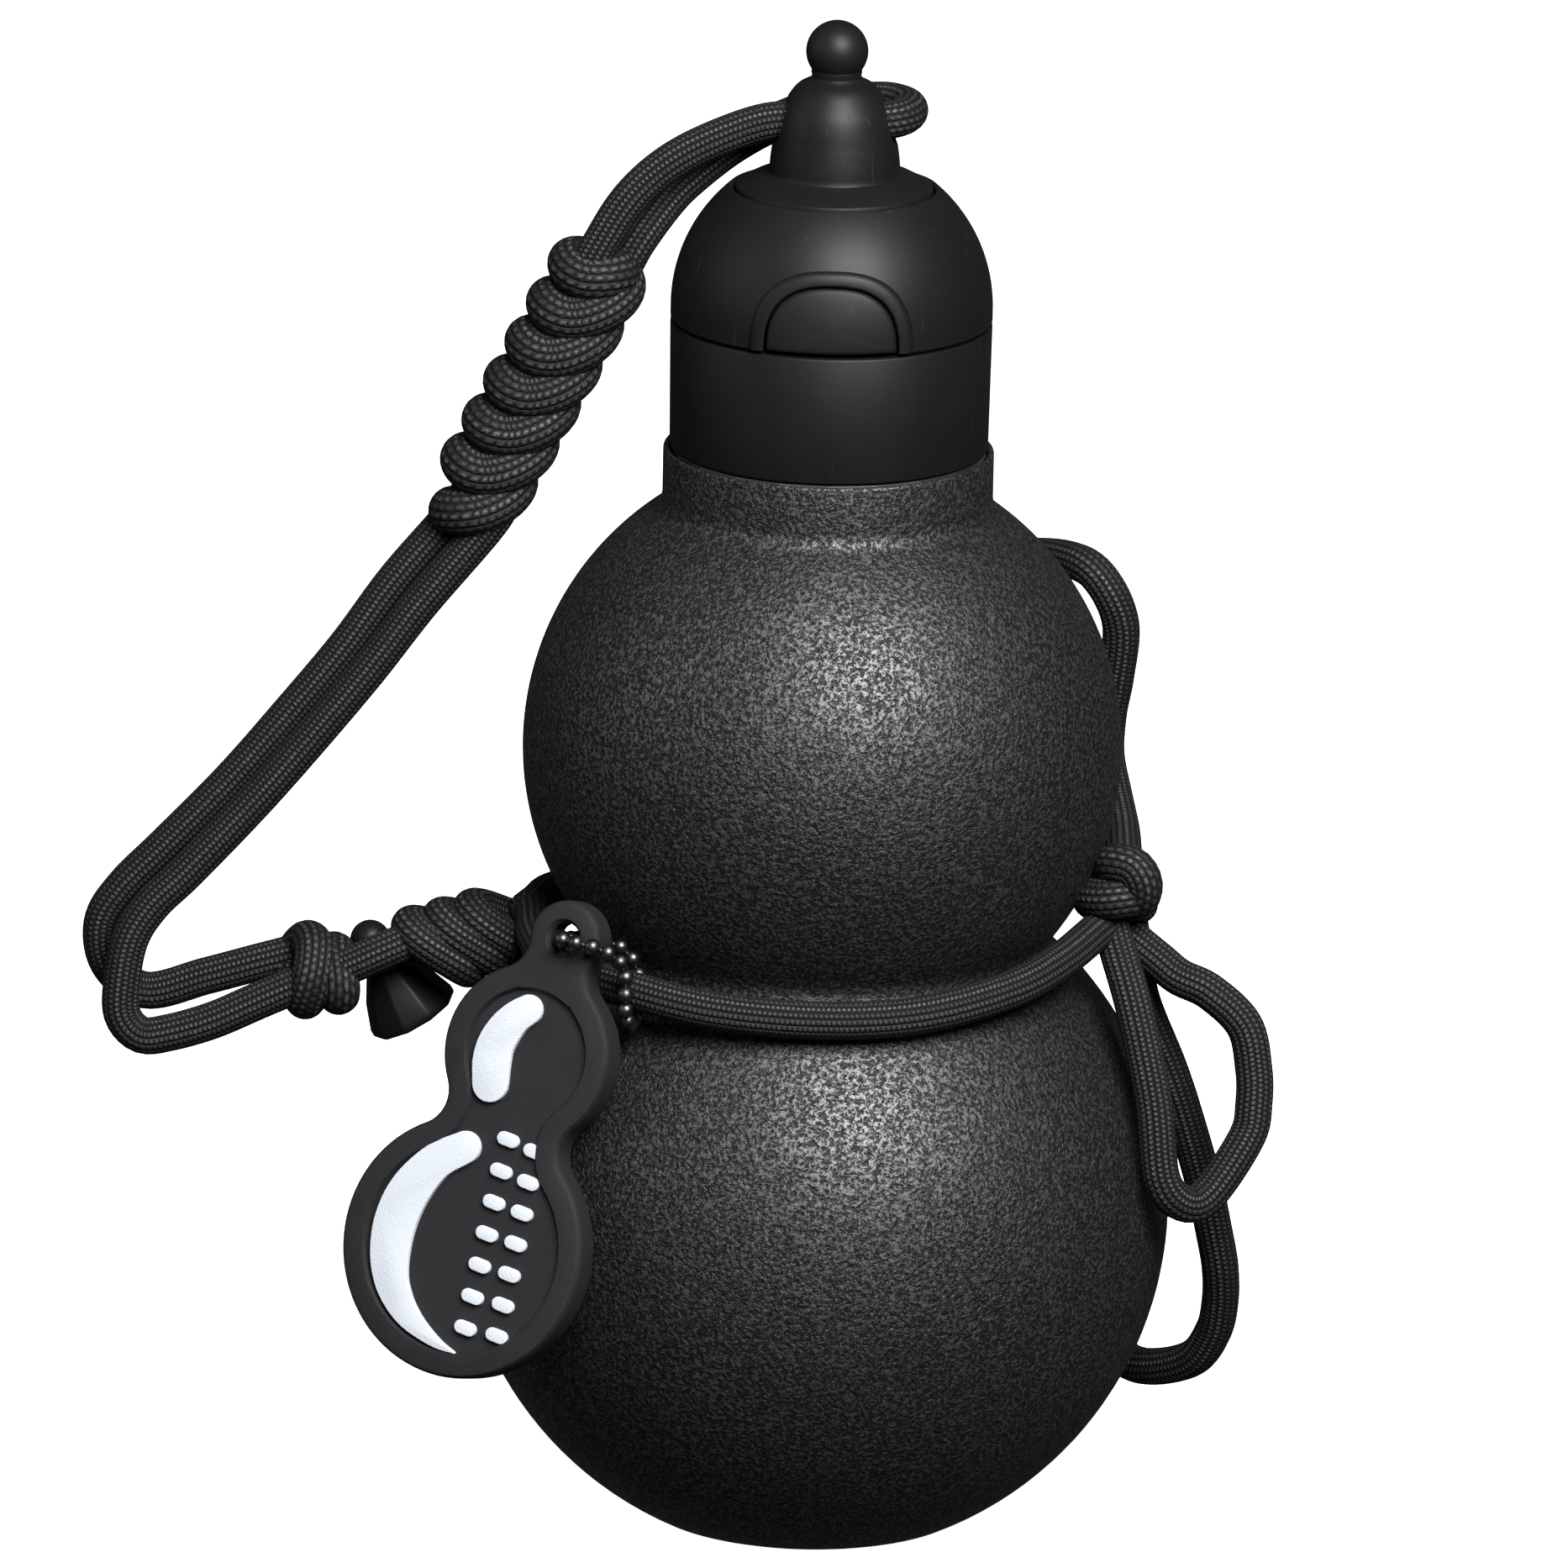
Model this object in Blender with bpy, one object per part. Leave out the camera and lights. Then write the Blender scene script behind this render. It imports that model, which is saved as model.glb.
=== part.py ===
"""Gourd-shaped vacuum bottle: flip-up lid with push button, cord lanyard with knots, rubber tag.

Metres, +Z up. The origin is the centre of the standing ring. The push button faces -Y, the lid's
hinge is at +Y, the lanyard lies at -X and the bow of the waist cord at +X.
"""

import math

import bmesh
import bpy
from mathutils import Matrix, Vector

# Clearances between pieces
CLEARANCE = 0.0003
SEAM = 0.0003
OVERRUN = 0.004

# Outer shell
LOWER_BULB_R = 0.0473
UPPER_BULB_R = 0.0396
BASE_R = 0.0208
BULB_SPACING = 0.0624
WAIST_FILLET_R = 0.003
NECK_R = 0.0218
NECK_FILLET_R = 0.003
NECK_LENGTH = 0.0078
SHELL_WALL = 0.0008
BASE_RING_WIDTH = 0.0019
BASE_RING_T = 0.001

# Inner liner
VACUUM_GAP = 0.0024
NECK_GAP = 0.0013
LINER_WALL = 0.0006
LINER_LIP_T = 0.001
LINER_THREAD_R = 0.0004

# Base plate and getter
BASE_PLATE_LIFT = 0.0006
BASE_PLATE_T = 0.0008
GETTER_R = 0.005
GETTER_H = 0.0012
GETTER_INSET = 0.0118
FLOOR_GAP = 0.0006

# Lid collar and stopper insert
COLLAR_STEP = 0.0008
COLLAR_HEIGHT = 0.0169
COLLAR_TAPER = 0.0002
COLLAR_WALL = 0.0018
FLANGE_T = 0.0023
FLANGE_WIDTH = 0.0014
FLANGE_DROP = 0.0027
PLUG_FIT = 0.0023
PLUG_DEPTH = 0.0146
PLUG_WALL = 0.002
PLUG_FLOOR_T = 0.0018
DECK_T = 0.002
DECK_DROP = 0.0027
INSERT_THREAD_R = 0.0006
THREAD_PITCH = 0.0032
THREAD_TURNS = 1.5
THREAD_SINK_SHARE = 0.3
SEAL_RISE = 0.002
SEAL_T = 0.0024
SEAL_GROOVE_DEPTH = 0.0014
SEAL_CHAMFER = 0.0008

# Drinking spout
SPOUT_GAP = 0.0006
SPOUT_WALL = 0.002
SPOUT_FLANGE_WIDTH = 0.0014
SPOUT_FLANGE_T = 0.0012
SPOUT_LIP = 0.0005

# Dome cover
DOME_RISE = 0.0211
DOME_BELT = 0.0017
DOME_WALL = 0.0018
DOME_FLOOR_T = 0.0018

# Finial
DISC_R = 0.013
DISC_T = 0.0013
BELL_BASE_R = 0.0086
BELL_BASE_LIFT = 0.0024
DISC_SLOPE_SHARE = 0.35
BELL_H = 0.0121
BELL_TOP_R = 0.0035
BELL_CURVE_POWER = 1.4
BALL_R = 0.00405
BALL_OVERLAP = 0.0006
CORD_HOLE_R = 0.0033
CORD_HOLE_LIFT = 0.0086
CORD_HOLE_FLARE = 0.0013
BOSS_R = 0.003
BOSS_DEPTH = 0.0034
SCREW_SHANK_R = 0.00105
SCREW_HEAD_R = 0.0026
SCREW_HEAD_H = 0.0013
SCREW_BITE = 0.004

# Cover liner and spout plug
COVER_LINER_MARGIN = 0.0076
COVER_LINER_T = 0.0017
PLUG_POCKET_MARGIN = 0.001
PLUG_POCKET_WALL = 0.0012
PLUG_POCKET_DEPTH = 0.0047
SPOUT_PLUG_T = 0.0019
LINER_TO_PLUG = 0.00526
NIPPLE_FIT = 0.0012
NIPPLE_DEPTH = 0.0015

# Push button
BUTTON_W = 0.0171
BUTTON_H = 0.0086
BUTTON_T = 0.002
BUTTON_CURVE_SHARE = 0.8
RIDGE_W = 0.0019
RIDGE_RISE = 0.0005
STEM_HALF_W = 0.0028
STEM_H = 0.003
STEM_LIFT = 0.0016
STEM_LENGTH = 0.0053
BUTTON_TRAVEL = 0.0015
SPRING_SPACE = 0.0038
GUIDE_WALL = 0.0012
GUIDE_DEPTH = 0.0067
GUIDE_H = 0.008
BUTTON_SPRING_R = 0.0015
BUTTON_SPRING_WIRE_R = 0.00025
BUTTON_SPRING_TURNS = 3
HOOK_W = 0.0046
HOOK_T = 0.0014
HOOK_DROP = 0.0035
HOOK_SETBACK = 0.0049

# Lid hinge
KNUCKLE_R = 0.0021
PIN_R = 0.0009
SPRING_SPAN = 0.0046
COVER_EAR_W = 0.0023
COLLAR_EAR_W = 0.002
EAR_ROOT = 0.0012
EAR_WEB_T = 0.0018
HINGE_SPRING_R = 0.00165
HINGE_SPRING_WIRE_R = 0.0003
HINGE_SPRING_TURNS = 3

# Cord
CORD_R = 0.0025
CORD_STEP = 0.011
LOOP_STEP = 0.0062
WRAP_POINTS = 24
WRAP_PITCH = 0.006
WRAP_SKEW_SHARE = 0.14

# Snake knot: the middle of its axis, its axis downwards, and its half width and depth
SNAKE_CENTRE = Vector((-0.0375, 0.0, 0.1545))
SNAKE_AXIS = Vector((-0.454, 0.0, -0.891))
SNAKE_TURNS = 6
SNAKE_HALF_W = 0.0054
SNAKE_HALF_D = 0.0028

# Stop knot, slide knot and bow knot
STOP_CENTRE = Vector((-0.0667, 0.0, 0.0732))
STOP_AXIS = Vector((0.985, 0.0, 0.17))
STOP_HALF_W = 0.0035
SLIDE_CENTRE = Vector((-0.0464, 0.0005, 0.0779))
SLIDE_AXIS = Vector((0.957, 0.123, 0.265))
SLIDE_TURNS = 2
SLIDE_HALF_W = 0.0041
BOW_CENTRE = Vector((0.0413, -0.006, 0.0845))
BOW_AXIS = Vector((0.0, 0.0, 1.0))
BOW_HALF_W = 0.0034
KNOT_HALF_D = 0.00305

# Cord clip
CLIP_TOP = Vector((-0.0594, 0.005, 0.0755))
CLIP_AXIS = Vector((0.5, 0.06, -0.86))
CLIP_LENGTH = 0.0137
CLIP_LOBE_R = 0.0027
CLIP_NECK_R = 0.0021
CLIP_FLARE_R = 0.0062

# Tag
TAG_TURN = math.radians(25.0)
TAG_LEAN = math.radians(15.0)
TAG_ROLL = math.radians(12.0)
TAG_STANDOFF = 0.001
TAG_HOLE_X = -0.0324
TAG_HOLE_Z = 0.0862
TAG_T = 0.005
TAG_EAR_R = 0.005
TAG_SMALL_R = 0.0119
TAG_LARGE_R = 0.0173
TAG_SMALL_DROP = 0.0161
TAG_LARGE_DROP = 0.043
TAG_FILLET_R = 0.0045
TAG_HOLE_R = 0.0021
TAG_RIM_W = 0.0026
TAG_FIELD_DEPTH = 0.0009
INLAY_T = 0.0005
INLAY_MARGIN = 0.0012
INLAY_UPPER_HALF_W = 0.0023
INLAY_LOWER_HALF_W = 0.0027
INLAY_TAIL_SHARE = 0.8
INLAY_START = math.radians(262.0)
INLAY_UPPER_END = math.radians(115.0)
INLAY_LOWER_END = math.radians(78.0)
CHAIN_R = 0.0011
CHAIN_STEP = 0.0022

# Counts of segments
BODY_SEGMENTS = 30
LINER_SEGMENTS = 20
LID_SEGMENTS = 36
FINIAL_SEGMENTS = 28
SPOUT_SEGMENTS = 24
SMALL_SEGMENTS = 16
ARCH_STEPS = 16
BELL_STEPS = 6
INLAY_STEPS = 14
ROUTE_STEPS = 12
CORD_RESOLUTION = 2
SPRING_POINTS = 10
ARC_STEP = math.radians(15.0)
SMOOTH_ANGLE = math.radians(35.0)
MERGE_SHARE = 0.01

# Routes of the cord's free stretches, chosen by hand along the real cord
STRAP_TOP_ROUTE = [
    (-0.0307, -0.0022, 0.1728), (-0.0277, -0.0018, 0.1780), (-0.0244, -0.0014, 0.1818),
    (-0.0202, -0.0010, 0.1850), (-0.0147, -0.0005, 0.1877), (-0.0090, 0.0, 0.1896),
    (-0.0035, 0.0, 0.1900), (0.0040, 0.0, 0.1900), (0.0079, 0.0006, 0.1902),
    (0.0096, 0.0038, 0.1904), (0.0089, 0.0074, 0.1905), (0.0055, 0.0102, 0.1903),
    (-0.0018, 0.0113, 0.1892), (-0.0085, 0.0100, 0.1868), (-0.0138, 0.0076, 0.1842),
    (-0.0185, 0.0056, 0.1808), (-0.0217, 0.0042, 0.1778), (-0.0256, 0.0024, 0.1726),
]
STRAP_LOWER_A_ROUTE = [
    (-0.0485, 0.0015, 0.1362), (-0.0566, 0.0015, 0.1262), (-0.0631, 0.0015, 0.1168),
    (-0.0704, 0.0015, 0.1075), (-0.0781, 0.0016, 0.0981), (-0.0866, 0.0018, 0.0889),
    (-0.0920, 0.0022, 0.0831), (-0.0949, 0.0026, 0.0780), (-0.0940, 0.0031, 0.0720),
    (-0.0890, 0.0032, 0.0684), (-0.0811, 0.0030, 0.0706), (-0.0750, 0.0027, 0.0725),
    (-0.0726, 0.0027, 0.0732),
]
STRAP_LOWER_B_ROUTE = [
    (-0.0445, -0.0015, 0.1347), (-0.0533, -0.0015, 0.1237), (-0.0600, -0.0015, 0.1145),
    (-0.0673, -0.0015, 0.1052), (-0.0750, -0.0016, 0.0959), (-0.0834, -0.0018, 0.0866),
    (-0.0882, -0.0020, 0.0817), (-0.0910, -0.0024, 0.0771), (-0.0921, -0.0027, 0.0710),
    (-0.0919, -0.0028, 0.0666), (-0.0894, -0.0029, 0.0640), (-0.0856, -0.0029, 0.0644),
    (-0.0799, -0.0028, 0.0662), (-0.0741, -0.0027, 0.0689), (-0.0695, -0.0027, 0.0710),
]
CLIP_LINK_ROUTE = [
    (-0.0628, -0.0026, 0.0737), (-0.0579, -0.0026, 0.0760), (-0.0540, -0.0018, 0.0776),
]
WAIST_FRONT_ROUTE = [
    (-0.0376, -0.0023, 0.0806), (-0.0371, -0.0090, 0.0799), (-0.0344, -0.0190, 0.0796),
    (-0.0255, -0.0296, 0.0796), (-0.0135, -0.0352, 0.0783), (0.0, -0.0366, 0.0777),
    (0.0130, -0.0344, 0.0780), (0.0245, -0.0274, 0.0794), (0.0312, -0.0195, 0.0810),
    (0.0369, -0.0098, 0.0832),
]
WAIST_REAR_ROUTE = [
    (-0.0373, 0.0061, 0.0810), (-0.0356, 0.0120, 0.0808), (-0.0300, 0.0196, 0.0804),
    (-0.0195, 0.0297, 0.0800), (-0.0065, 0.0350, 0.0798), (0.0070, 0.0350, 0.0798),
    (0.0196, 0.0297, 0.0802), (0.0300, 0.0200, 0.0812), (0.0362, 0.0115, 0.0828),
    (0.0395, 0.0056, 0.0842), (0.0411, -0.0001, 0.0848),
]
BOW_FRONT_ROUTE = [
    (0.0451, -0.0078, 0.0786), (0.0478, -0.0092, 0.0768), (0.0519, -0.0105, 0.0752),
    (0.0565, -0.0115, 0.0710), (0.0579, -0.0125, 0.0652), (0.0580, -0.0135, 0.0609),
    (0.0572, -0.0145, 0.0566), (0.0525, -0.0172, 0.0496), (0.0492, -0.0187, 0.0484),
    (0.0460, -0.0196, 0.0520), (0.0447, -0.0178, 0.0620), (0.0420, -0.0142, 0.0733),
    (0.0396, -0.0098, 0.0804),
]
BOW_REAR_ROUTE = [
    (0.0402, -0.0005, 0.0905), (0.0399, 0.0072, 0.0922), (0.0389, 0.0138, 0.0952),
    (0.0378, 0.0187, 0.0995), (0.0380, 0.0190, 0.1050), (0.0388, 0.0174, 0.1105), (0.0393, 0.0156, 0.1180),
    (0.0371, 0.0150, 0.1236), (0.0336, 0.0176, 0.1260), (0.0272, 0.0278, 0.1240),
    (0.0182, 0.0363, 0.1200), (0.0112, 0.0413, 0.1125), (0.0070, 0.0430, 0.1010),
    (0.0057, 0.0437, 0.0900), (0.0060, 0.0462, 0.0760), (0.0075, 0.0495, 0.0600),
    (0.0100, 0.0503, 0.0480), (0.0160, 0.0487, 0.0360), (0.0250, 0.0440, 0.0260),
    (0.0330, 0.0360, 0.0195), (0.0392, 0.0265, 0.0160), (0.0443, 0.0180, 0.0148),
    (0.0510, 0.0120, 0.0176), (0.0539, 0.0090, 0.0225), (0.0547, 0.0070, 0.0276),
    (0.0545, 0.0050, 0.0328), (0.0536, 0.0040, 0.0377), (0.0520, 0.0025, 0.0450),
    (0.0492, 0.0, 0.0549), (0.0468, -0.0015, 0.0622), (0.0430, -0.0026, 0.0717),
    (0.0418, -0.0030, 0.0786),
]
CHAIN_ROUTE = [
    (-0.0339, -0.0331, 0.0871), (-0.0320, -0.0353, 0.0872), (-0.0291, -0.0360, 0.0867),
    (-0.0263, -0.0350, 0.0850), (-0.0252, -0.0346, 0.0827), (-0.0251, -0.0348, 0.0802),
    (-0.0250, -0.0339, 0.0772), (-0.0245, -0.0311, 0.0749), (-0.0237, -0.0277, 0.0753),
    (-0.0233, -0.0255, 0.0783), (-0.0241, -0.0250, 0.0818), (-0.0264, -0.0253, 0.0842),
    (-0.0292, -0.0260, 0.0850), (-0.0309, -0.0268, 0.0853),
]

# Places worked out from the sizes above
LOWER_Z = math.sqrt(LOWER_BULB_R ** 2 - BASE_R ** 2)
UPPER_Z = LOWER_Z + BULB_SPACING
RIM_Z = UPPER_Z + math.sqrt(UPPER_BULB_R ** 2 - NECK_R ** 2) + NECK_LENGTH
LINER_NECK_R = NECK_R - SHELL_WALL - NECK_GAP - LINER_WALL
BASE_PLATE_TOP = BASE_PLATE_LIFT + BASE_PLATE_T
GETTER_Z = BASE_PLATE_TOP + CLEARANCE
LINER_FLOOR_Z = GETTER_Z + GETTER_H + FLOOR_GAP
GETTER_OFFSET = BASE_R - GETTER_INSET
COLLAR_R = NECK_R - COLLAR_STEP
COLLAR_Z = RIM_Z + CLEARANCE
COLLAR_TOP_R = COLLAR_R + COLLAR_TAPER
COLLAR_TOP_Z = COLLAR_Z + COLLAR_HEIGHT
DECK_TOP_Z = COLLAR_TOP_Z - DECK_DROP
DOME_Z = COLLAR_TOP_Z + SEAM
DOME_EQUATOR_Z = DOME_Z + DOME_BELT
SPOUT_Z = DECK_TOP_Z + CLEARANCE
SPOUT_FLANGE_R = (COLLAR_TOP_R - BUTTON_T - STEM_LENGTH - CLEARANCE - SPRING_SPACE - GUIDE_WALL
                  - SPOUT_GAP)
SPOUT_BORE_R = SPOUT_FLANGE_R - SPOUT_FLANGE_WIDTH - SPOUT_WALL
PLUG_R = LINER_NECK_R - PLUG_FIT
PLUG_POCKET_R = SPOUT_FLANGE_R - PLUG_POCKET_MARGIN
NIPPLE_R = SPOUT_BORE_R - NIPPLE_FIT
COVER_LINER_R = COLLAR_TOP_R - COVER_LINER_MARGIN
HINGE_Y = COLLAR_TOP_R + CLEARANCE + KNUCKLE_R
HINGE_Z = COLLAR_TOP_Z + SEAM / 2
BUTTON_Z = COLLAR_TOP_Z + 2 * SEAM


def dome_height(radius: float, inset: float) -> float:
    """Height of the dome's ellipse at a radius, for the ellipse moved in by an inset."""
    share = radius / (COLLAR_TOP_R - inset)
    return DOME_EQUATOR_Z + (DOME_RISE - inset) * math.sqrt(max(0.0, 1 - share ** 2))


DISC_Z = dome_height(DISC_R + CLEARANCE, 0.0)
BELL_Z = DISC_Z + BELL_BASE_LIFT
CORD_HOLE_Z = DISC_Z + CORD_HOLE_LIFT
RECESS_Z = DISC_Z - DISC_T - CLEARANCE
DOME_CEILING_Z = RECESS_Z - DOME_FLOOR_T
COVER_LINER_TOP_Z = RECESS_Z - BOSS_DEPTH
PLUG_TOP_Z = COVER_LINER_TOP_Z - LINER_TO_PLUG
SPOUT_TOP_Z = PLUG_TOP_Z - SPOUT_PLUG_T - CLEARANCE


def clear_scene() -> None:
    """Remove every object that the file starts with."""
    for obj in list(bpy.data.objects):
        bpy.data.objects.remove(obj, do_unlink=True)


def material(name: str, colour: tuple, roughness: float, metallic: float = 0.0):
    """A Principled material with one colour."""
    mat = bpy.data.materials.new(name)
    mat.use_nodes = True
    shader = mat.node_tree.nodes["Principled BSDF"]
    shader.inputs["Base Color"].default_value = (*colour, 1.0)
    shader.inputs["Roughness"].default_value = roughness
    shader.inputs["Metallic"].default_value = metallic
    return mat


def add_object(name: str, data, mat=None):
    """Link an object for a mesh or a curve, with its own material."""
    obj = bpy.data.objects.new(name, data)
    bpy.context.collection.objects.link(obj)
    if mat is not None:
        obj.data.materials.append(mat)
    return obj


def mesh_from(name: str, bm):
    """Turn a bmesh into a mesh with outward faces and smooth round sides."""
    bmesh.ops.recalc_face_normals(bm, faces=bm.faces)
    mesh = bpy.data.meshes.new(name)
    bm.to_mesh(mesh)
    bm.free()
    mesh.shade_smooth()
    mesh.set_sharp_from_angle(angle=SMOOTH_ANGLE)
    return mesh


def turned(name: str, profile: list, segments: int, mat=None, closed: bool = True):
    """Spin a profile of (radius, height) points round the Z axis.

    A closed profile makes a ring. An open one starts and ends on the axis.
    """
    bm = bmesh.new()
    verts = [bm.verts.new((r, 0.0, z)) for r, z in profile]
    pairs = list(zip(verts, verts[1:]))
    if closed:
        pairs.append((verts[-1], verts[0]))
    edges = [bm.edges.new(pair) for pair in pairs]
    bmesh.ops.spin(
        bm, geom=verts + edges, cent=(0, 0, 0), axis=(0, 0, 1),
        angle=math.tau, steps=segments, use_merge=True,
    )
    bmesh.ops.remove_doubles(bm, verts=bm.verts, dist=CLEARANCE * MERGE_SHARE)
    return add_object(name, mesh_from(name, bm), mat)


def box(name: str, low: tuple, high: tuple, mat=None):
    """A block between two corners."""
    bm = bmesh.new()
    bmesh.ops.create_cube(bm, size=1)
    size = [b - a for a, b in zip(low, high)]
    middle = [(a + b) / 2 for a, b in zip(low, high)]
    bmesh.ops.scale(bm, vec=size, verts=bm.verts)
    bmesh.ops.translate(bm, vec=middle, verts=bm.verts)
    return add_object(name, mesh_from(name, bm), mat)


def rod(name: str, start: Vector, end: Vector, radius: float, end_radius=None, mat=None,
        segments: int = SMALL_SEGMENTS):
    """A straight round rod or cone between two points."""
    bm = bmesh.new()
    run = end - start
    bmesh.ops.create_cone(
        bm, cap_ends=True, segments=segments, radius1=radius,
        radius2=radius if end_radius is None else end_radius, depth=run.length,
    )
    turn = run.to_track_quat("Z", "Y").to_matrix().to_4x4()
    bmesh.ops.transform(bm, matrix=Matrix.Translation((start + end) / 2) @ turn, verts=bm.verts)
    return add_object(name, mesh_from(name, bm), mat)


def prism(name: str, outline: list, start_y: float, end_y: float, mat=None):
    """Extrude an outline of (x, z) points along Y."""
    bm = bmesh.new()
    face = bm.faces.new([bm.verts.new((x, start_y, z)) for x, z in outline])
    run = bmesh.ops.extrude_face_region(bm, geom=[face])
    moved = [item for item in run["geom"] if isinstance(item, bmesh.types.BMVert)]
    bmesh.ops.translate(bm, vec=(0, end_y - start_y, 0), verts=moved)
    return add_object(name, mesh_from(name, bm), mat)


def combine(target, other, operation: str) -> None:
    """Add a live Boolean and hide the object that cuts, joins or bounds."""
    mod = target.modifiers.new(f"{operation.lower()}_{other.name}", "BOOLEAN")
    mod.operation = operation
    mod.solver = "EXACT"
    mod.object = other
    other.hide_render = True
    other.display_type = "WIRE"


def hold(obj, parent) -> None:
    """Parent an object without moving it."""
    obj.parent = parent
    obj.matrix_parent_inverse = Matrix.Translation(parent["place"]).inverted()


def pivot(name: str, place: Vector, parent=None):
    """An empty on a joint's axis."""
    empty = bpy.data.objects.new(name, None)
    bpy.context.collection.objects.link(empty)
    empty["place"] = tuple(place)
    empty.location = place
    empty.empty_display_size = KNUCKLE_R
    if parent is not None:
        hold(empty, parent)
    return empty


def arc(centre: tuple, radius: float, start: float, end: float) -> list:
    """Points of an arc, ends included, at about one arc step apart."""
    steps = max(1, math.ceil(abs(end - start) / ARC_STEP))
    angles = [start + (end - start) * i / steps for i in range(steps + 1)]
    return [(centre[0] + radius * math.cos(a), centre[1] + radius * math.sin(a)) for a in angles]


def fillet_centre(low: float, low_r: float, high: float, high_r: float, fillet: float) -> tuple:
    """Centre of the fillet that touches two circles on the axis from outside."""
    gap = high - low
    along = ((low_r + fillet) ** 2 - (high_r + fillet) ** 2 + gap ** 2) / (2 * gap)
    return math.sqrt((low_r + fillet) ** 2 - along ** 2), low + along


def gourd_outline(inset: float, base_z: float, neck_r: float, top_z: float) -> list:
    """Outline of the two bulbs and the neck, moved in by an inset, bottom to top."""
    low_r = LOWER_BULB_R - inset
    high_r = UPPER_BULB_R - inset
    waist = WAIST_FILLET_R + inset
    waist_r, waist_z = fillet_centre(LOWER_Z, low_r, UPPER_Z, high_r, waist)
    low_end = math.atan2(waist_z - LOWER_Z, waist_r)
    high_start = math.atan2(waist_z - UPPER_Z, waist_r)
    neck = NECK_FILLET_R + inset
    neck_z = UPPER_Z + math.sqrt((high_r + neck) ** 2 - (neck_r + neck) ** 2)
    high_end = math.atan2(neck_z - UPPER_Z, neck_r + neck)
    low_start = math.asin((base_z - LOWER_Z) / low_r)
    points = arc((0.0, LOWER_Z), low_r, low_start, low_end)
    points += arc((waist_r, waist_z), waist, low_end + math.pi, high_start + math.pi)[1:-1]
    points += arc((0.0, UPPER_Z), high_r, high_start, high_end)
    points += arc((neck_r + neck, neck_z), neck, high_end + math.pi, math.pi)[1:]
    return points + [(neck_r, top_z)]


def dome_outline(inset: float, base_z: float, end_radius: float) -> list:
    """Outline of the dome moved in by an inset, from its base up to a radius."""
    half_w = COLLAR_TOP_R - inset
    rise = DOME_RISE - inset
    end = math.acos(end_radius / half_w)
    steps = math.ceil(end / ARC_STEP) + 1
    angles = [end * i / steps for i in range(steps + 1)]
    curve = [(half_w * math.cos(a), DOME_EQUATOR_Z + rise * math.sin(a)) for a in angles]
    return [(half_w, base_z)] + curve


def arch_outline(grow: float, base_z: float) -> list:
    """D-shaped outline of the button, grown by a margin, standing on a height."""
    half_w = BUTTON_W / 2 + grow
    rise = BUTTON_H + grow
    points = []
    for i in range(ARCH_STEPS + 1):
        angle = math.pi * i / ARCH_STEPS
        side = math.copysign(abs(math.cos(angle)) ** BUTTON_CURVE_SHARE, math.cos(angle))
        up = math.sin(angle) ** BUTTON_CURVE_SHARE
        points.append((half_w * side, BUTTON_Z + rise * up))
    return [(half_w, base_z)] + points[1:-1] + [(-half_w, base_z)]


def smooth_points(route: list, step: float) -> list:
    """Even points on the smooth curve through a route, about one step apart."""
    points = [Vector(p) for p in route]
    padded = [2 * points[0] - points[1]] + points + [2 * points[-1] - points[-2]]
    fine = []
    for a, b, c, d in zip(padded, padded[1:], padded[2:], padded[3:]):
        for i in range(ROUTE_STEPS):
            t = i / ROUTE_STEPS
            fine.append(0.5 * (2 * b + (c - a) * t + (2 * a - 5 * b + 4 * c - d) * t ** 2
                               + (3 * b - a - 3 * c + d) * t ** 3))
    fine.append(points[-1])
    runs = [0.0]
    for p, q in zip(fine, fine[1:]):
        runs.append(runs[-1] + (q - p).length)
    count = max(2, round(runs[-1] / step))
    result = []
    at = 0
    for i in range(count + 1):
        goal = runs[-1] * i / count
        while at < len(runs) - 2 and runs[at + 1] < goal:
            at += 1
        part = (goal - runs[at]) / (runs[at + 1] - runs[at])
        result.append(fine[at].lerp(fine[at + 1], part))
    return result


def tube(name: str, points: list, radius: float, resolution: int, mat, cyclic: bool = False):
    """A tube with filled caps along points."""
    curve = bpy.data.curves.new(name, "CURVE")
    curve.dimensions = "3D"
    curve.bevel_depth = radius
    curve.bevel_resolution = resolution
    curve.use_fill_caps = not cyclic
    spline = curve.splines.new("POLY")
    spline.points.add(len(points) - 1)
    for spot, place in zip(spline.points, points):
        spot.co = (*place, 1.0)
    spline.use_cyclic_u = cyclic
    return add_object(name, curve, mat)


def loop_place(share: float, half_w: float, half_d: float) -> tuple:
    """Place on one wrap, a round-ended loop, from the middle of its back run."""
    run = half_w - half_d
    bend = math.pi * half_d
    length = 4 * run + 2 * bend
    at = (share % 1.0) * length
    if at < run:
        return at, half_d
    at -= run
    if at < bend:
        angle = math.pi / 2 - at / half_d
        return run + half_d * math.cos(angle), half_d * math.sin(angle)
    at -= bend
    if at < 2 * run:
        return run - at, -half_d
    at -= 2 * run
    if at < bend:
        angle = -math.pi / 2 - at / half_d
        return -run + half_d * math.cos(angle), half_d * math.sin(angle)
    return -run + at - bend, half_d


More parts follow.
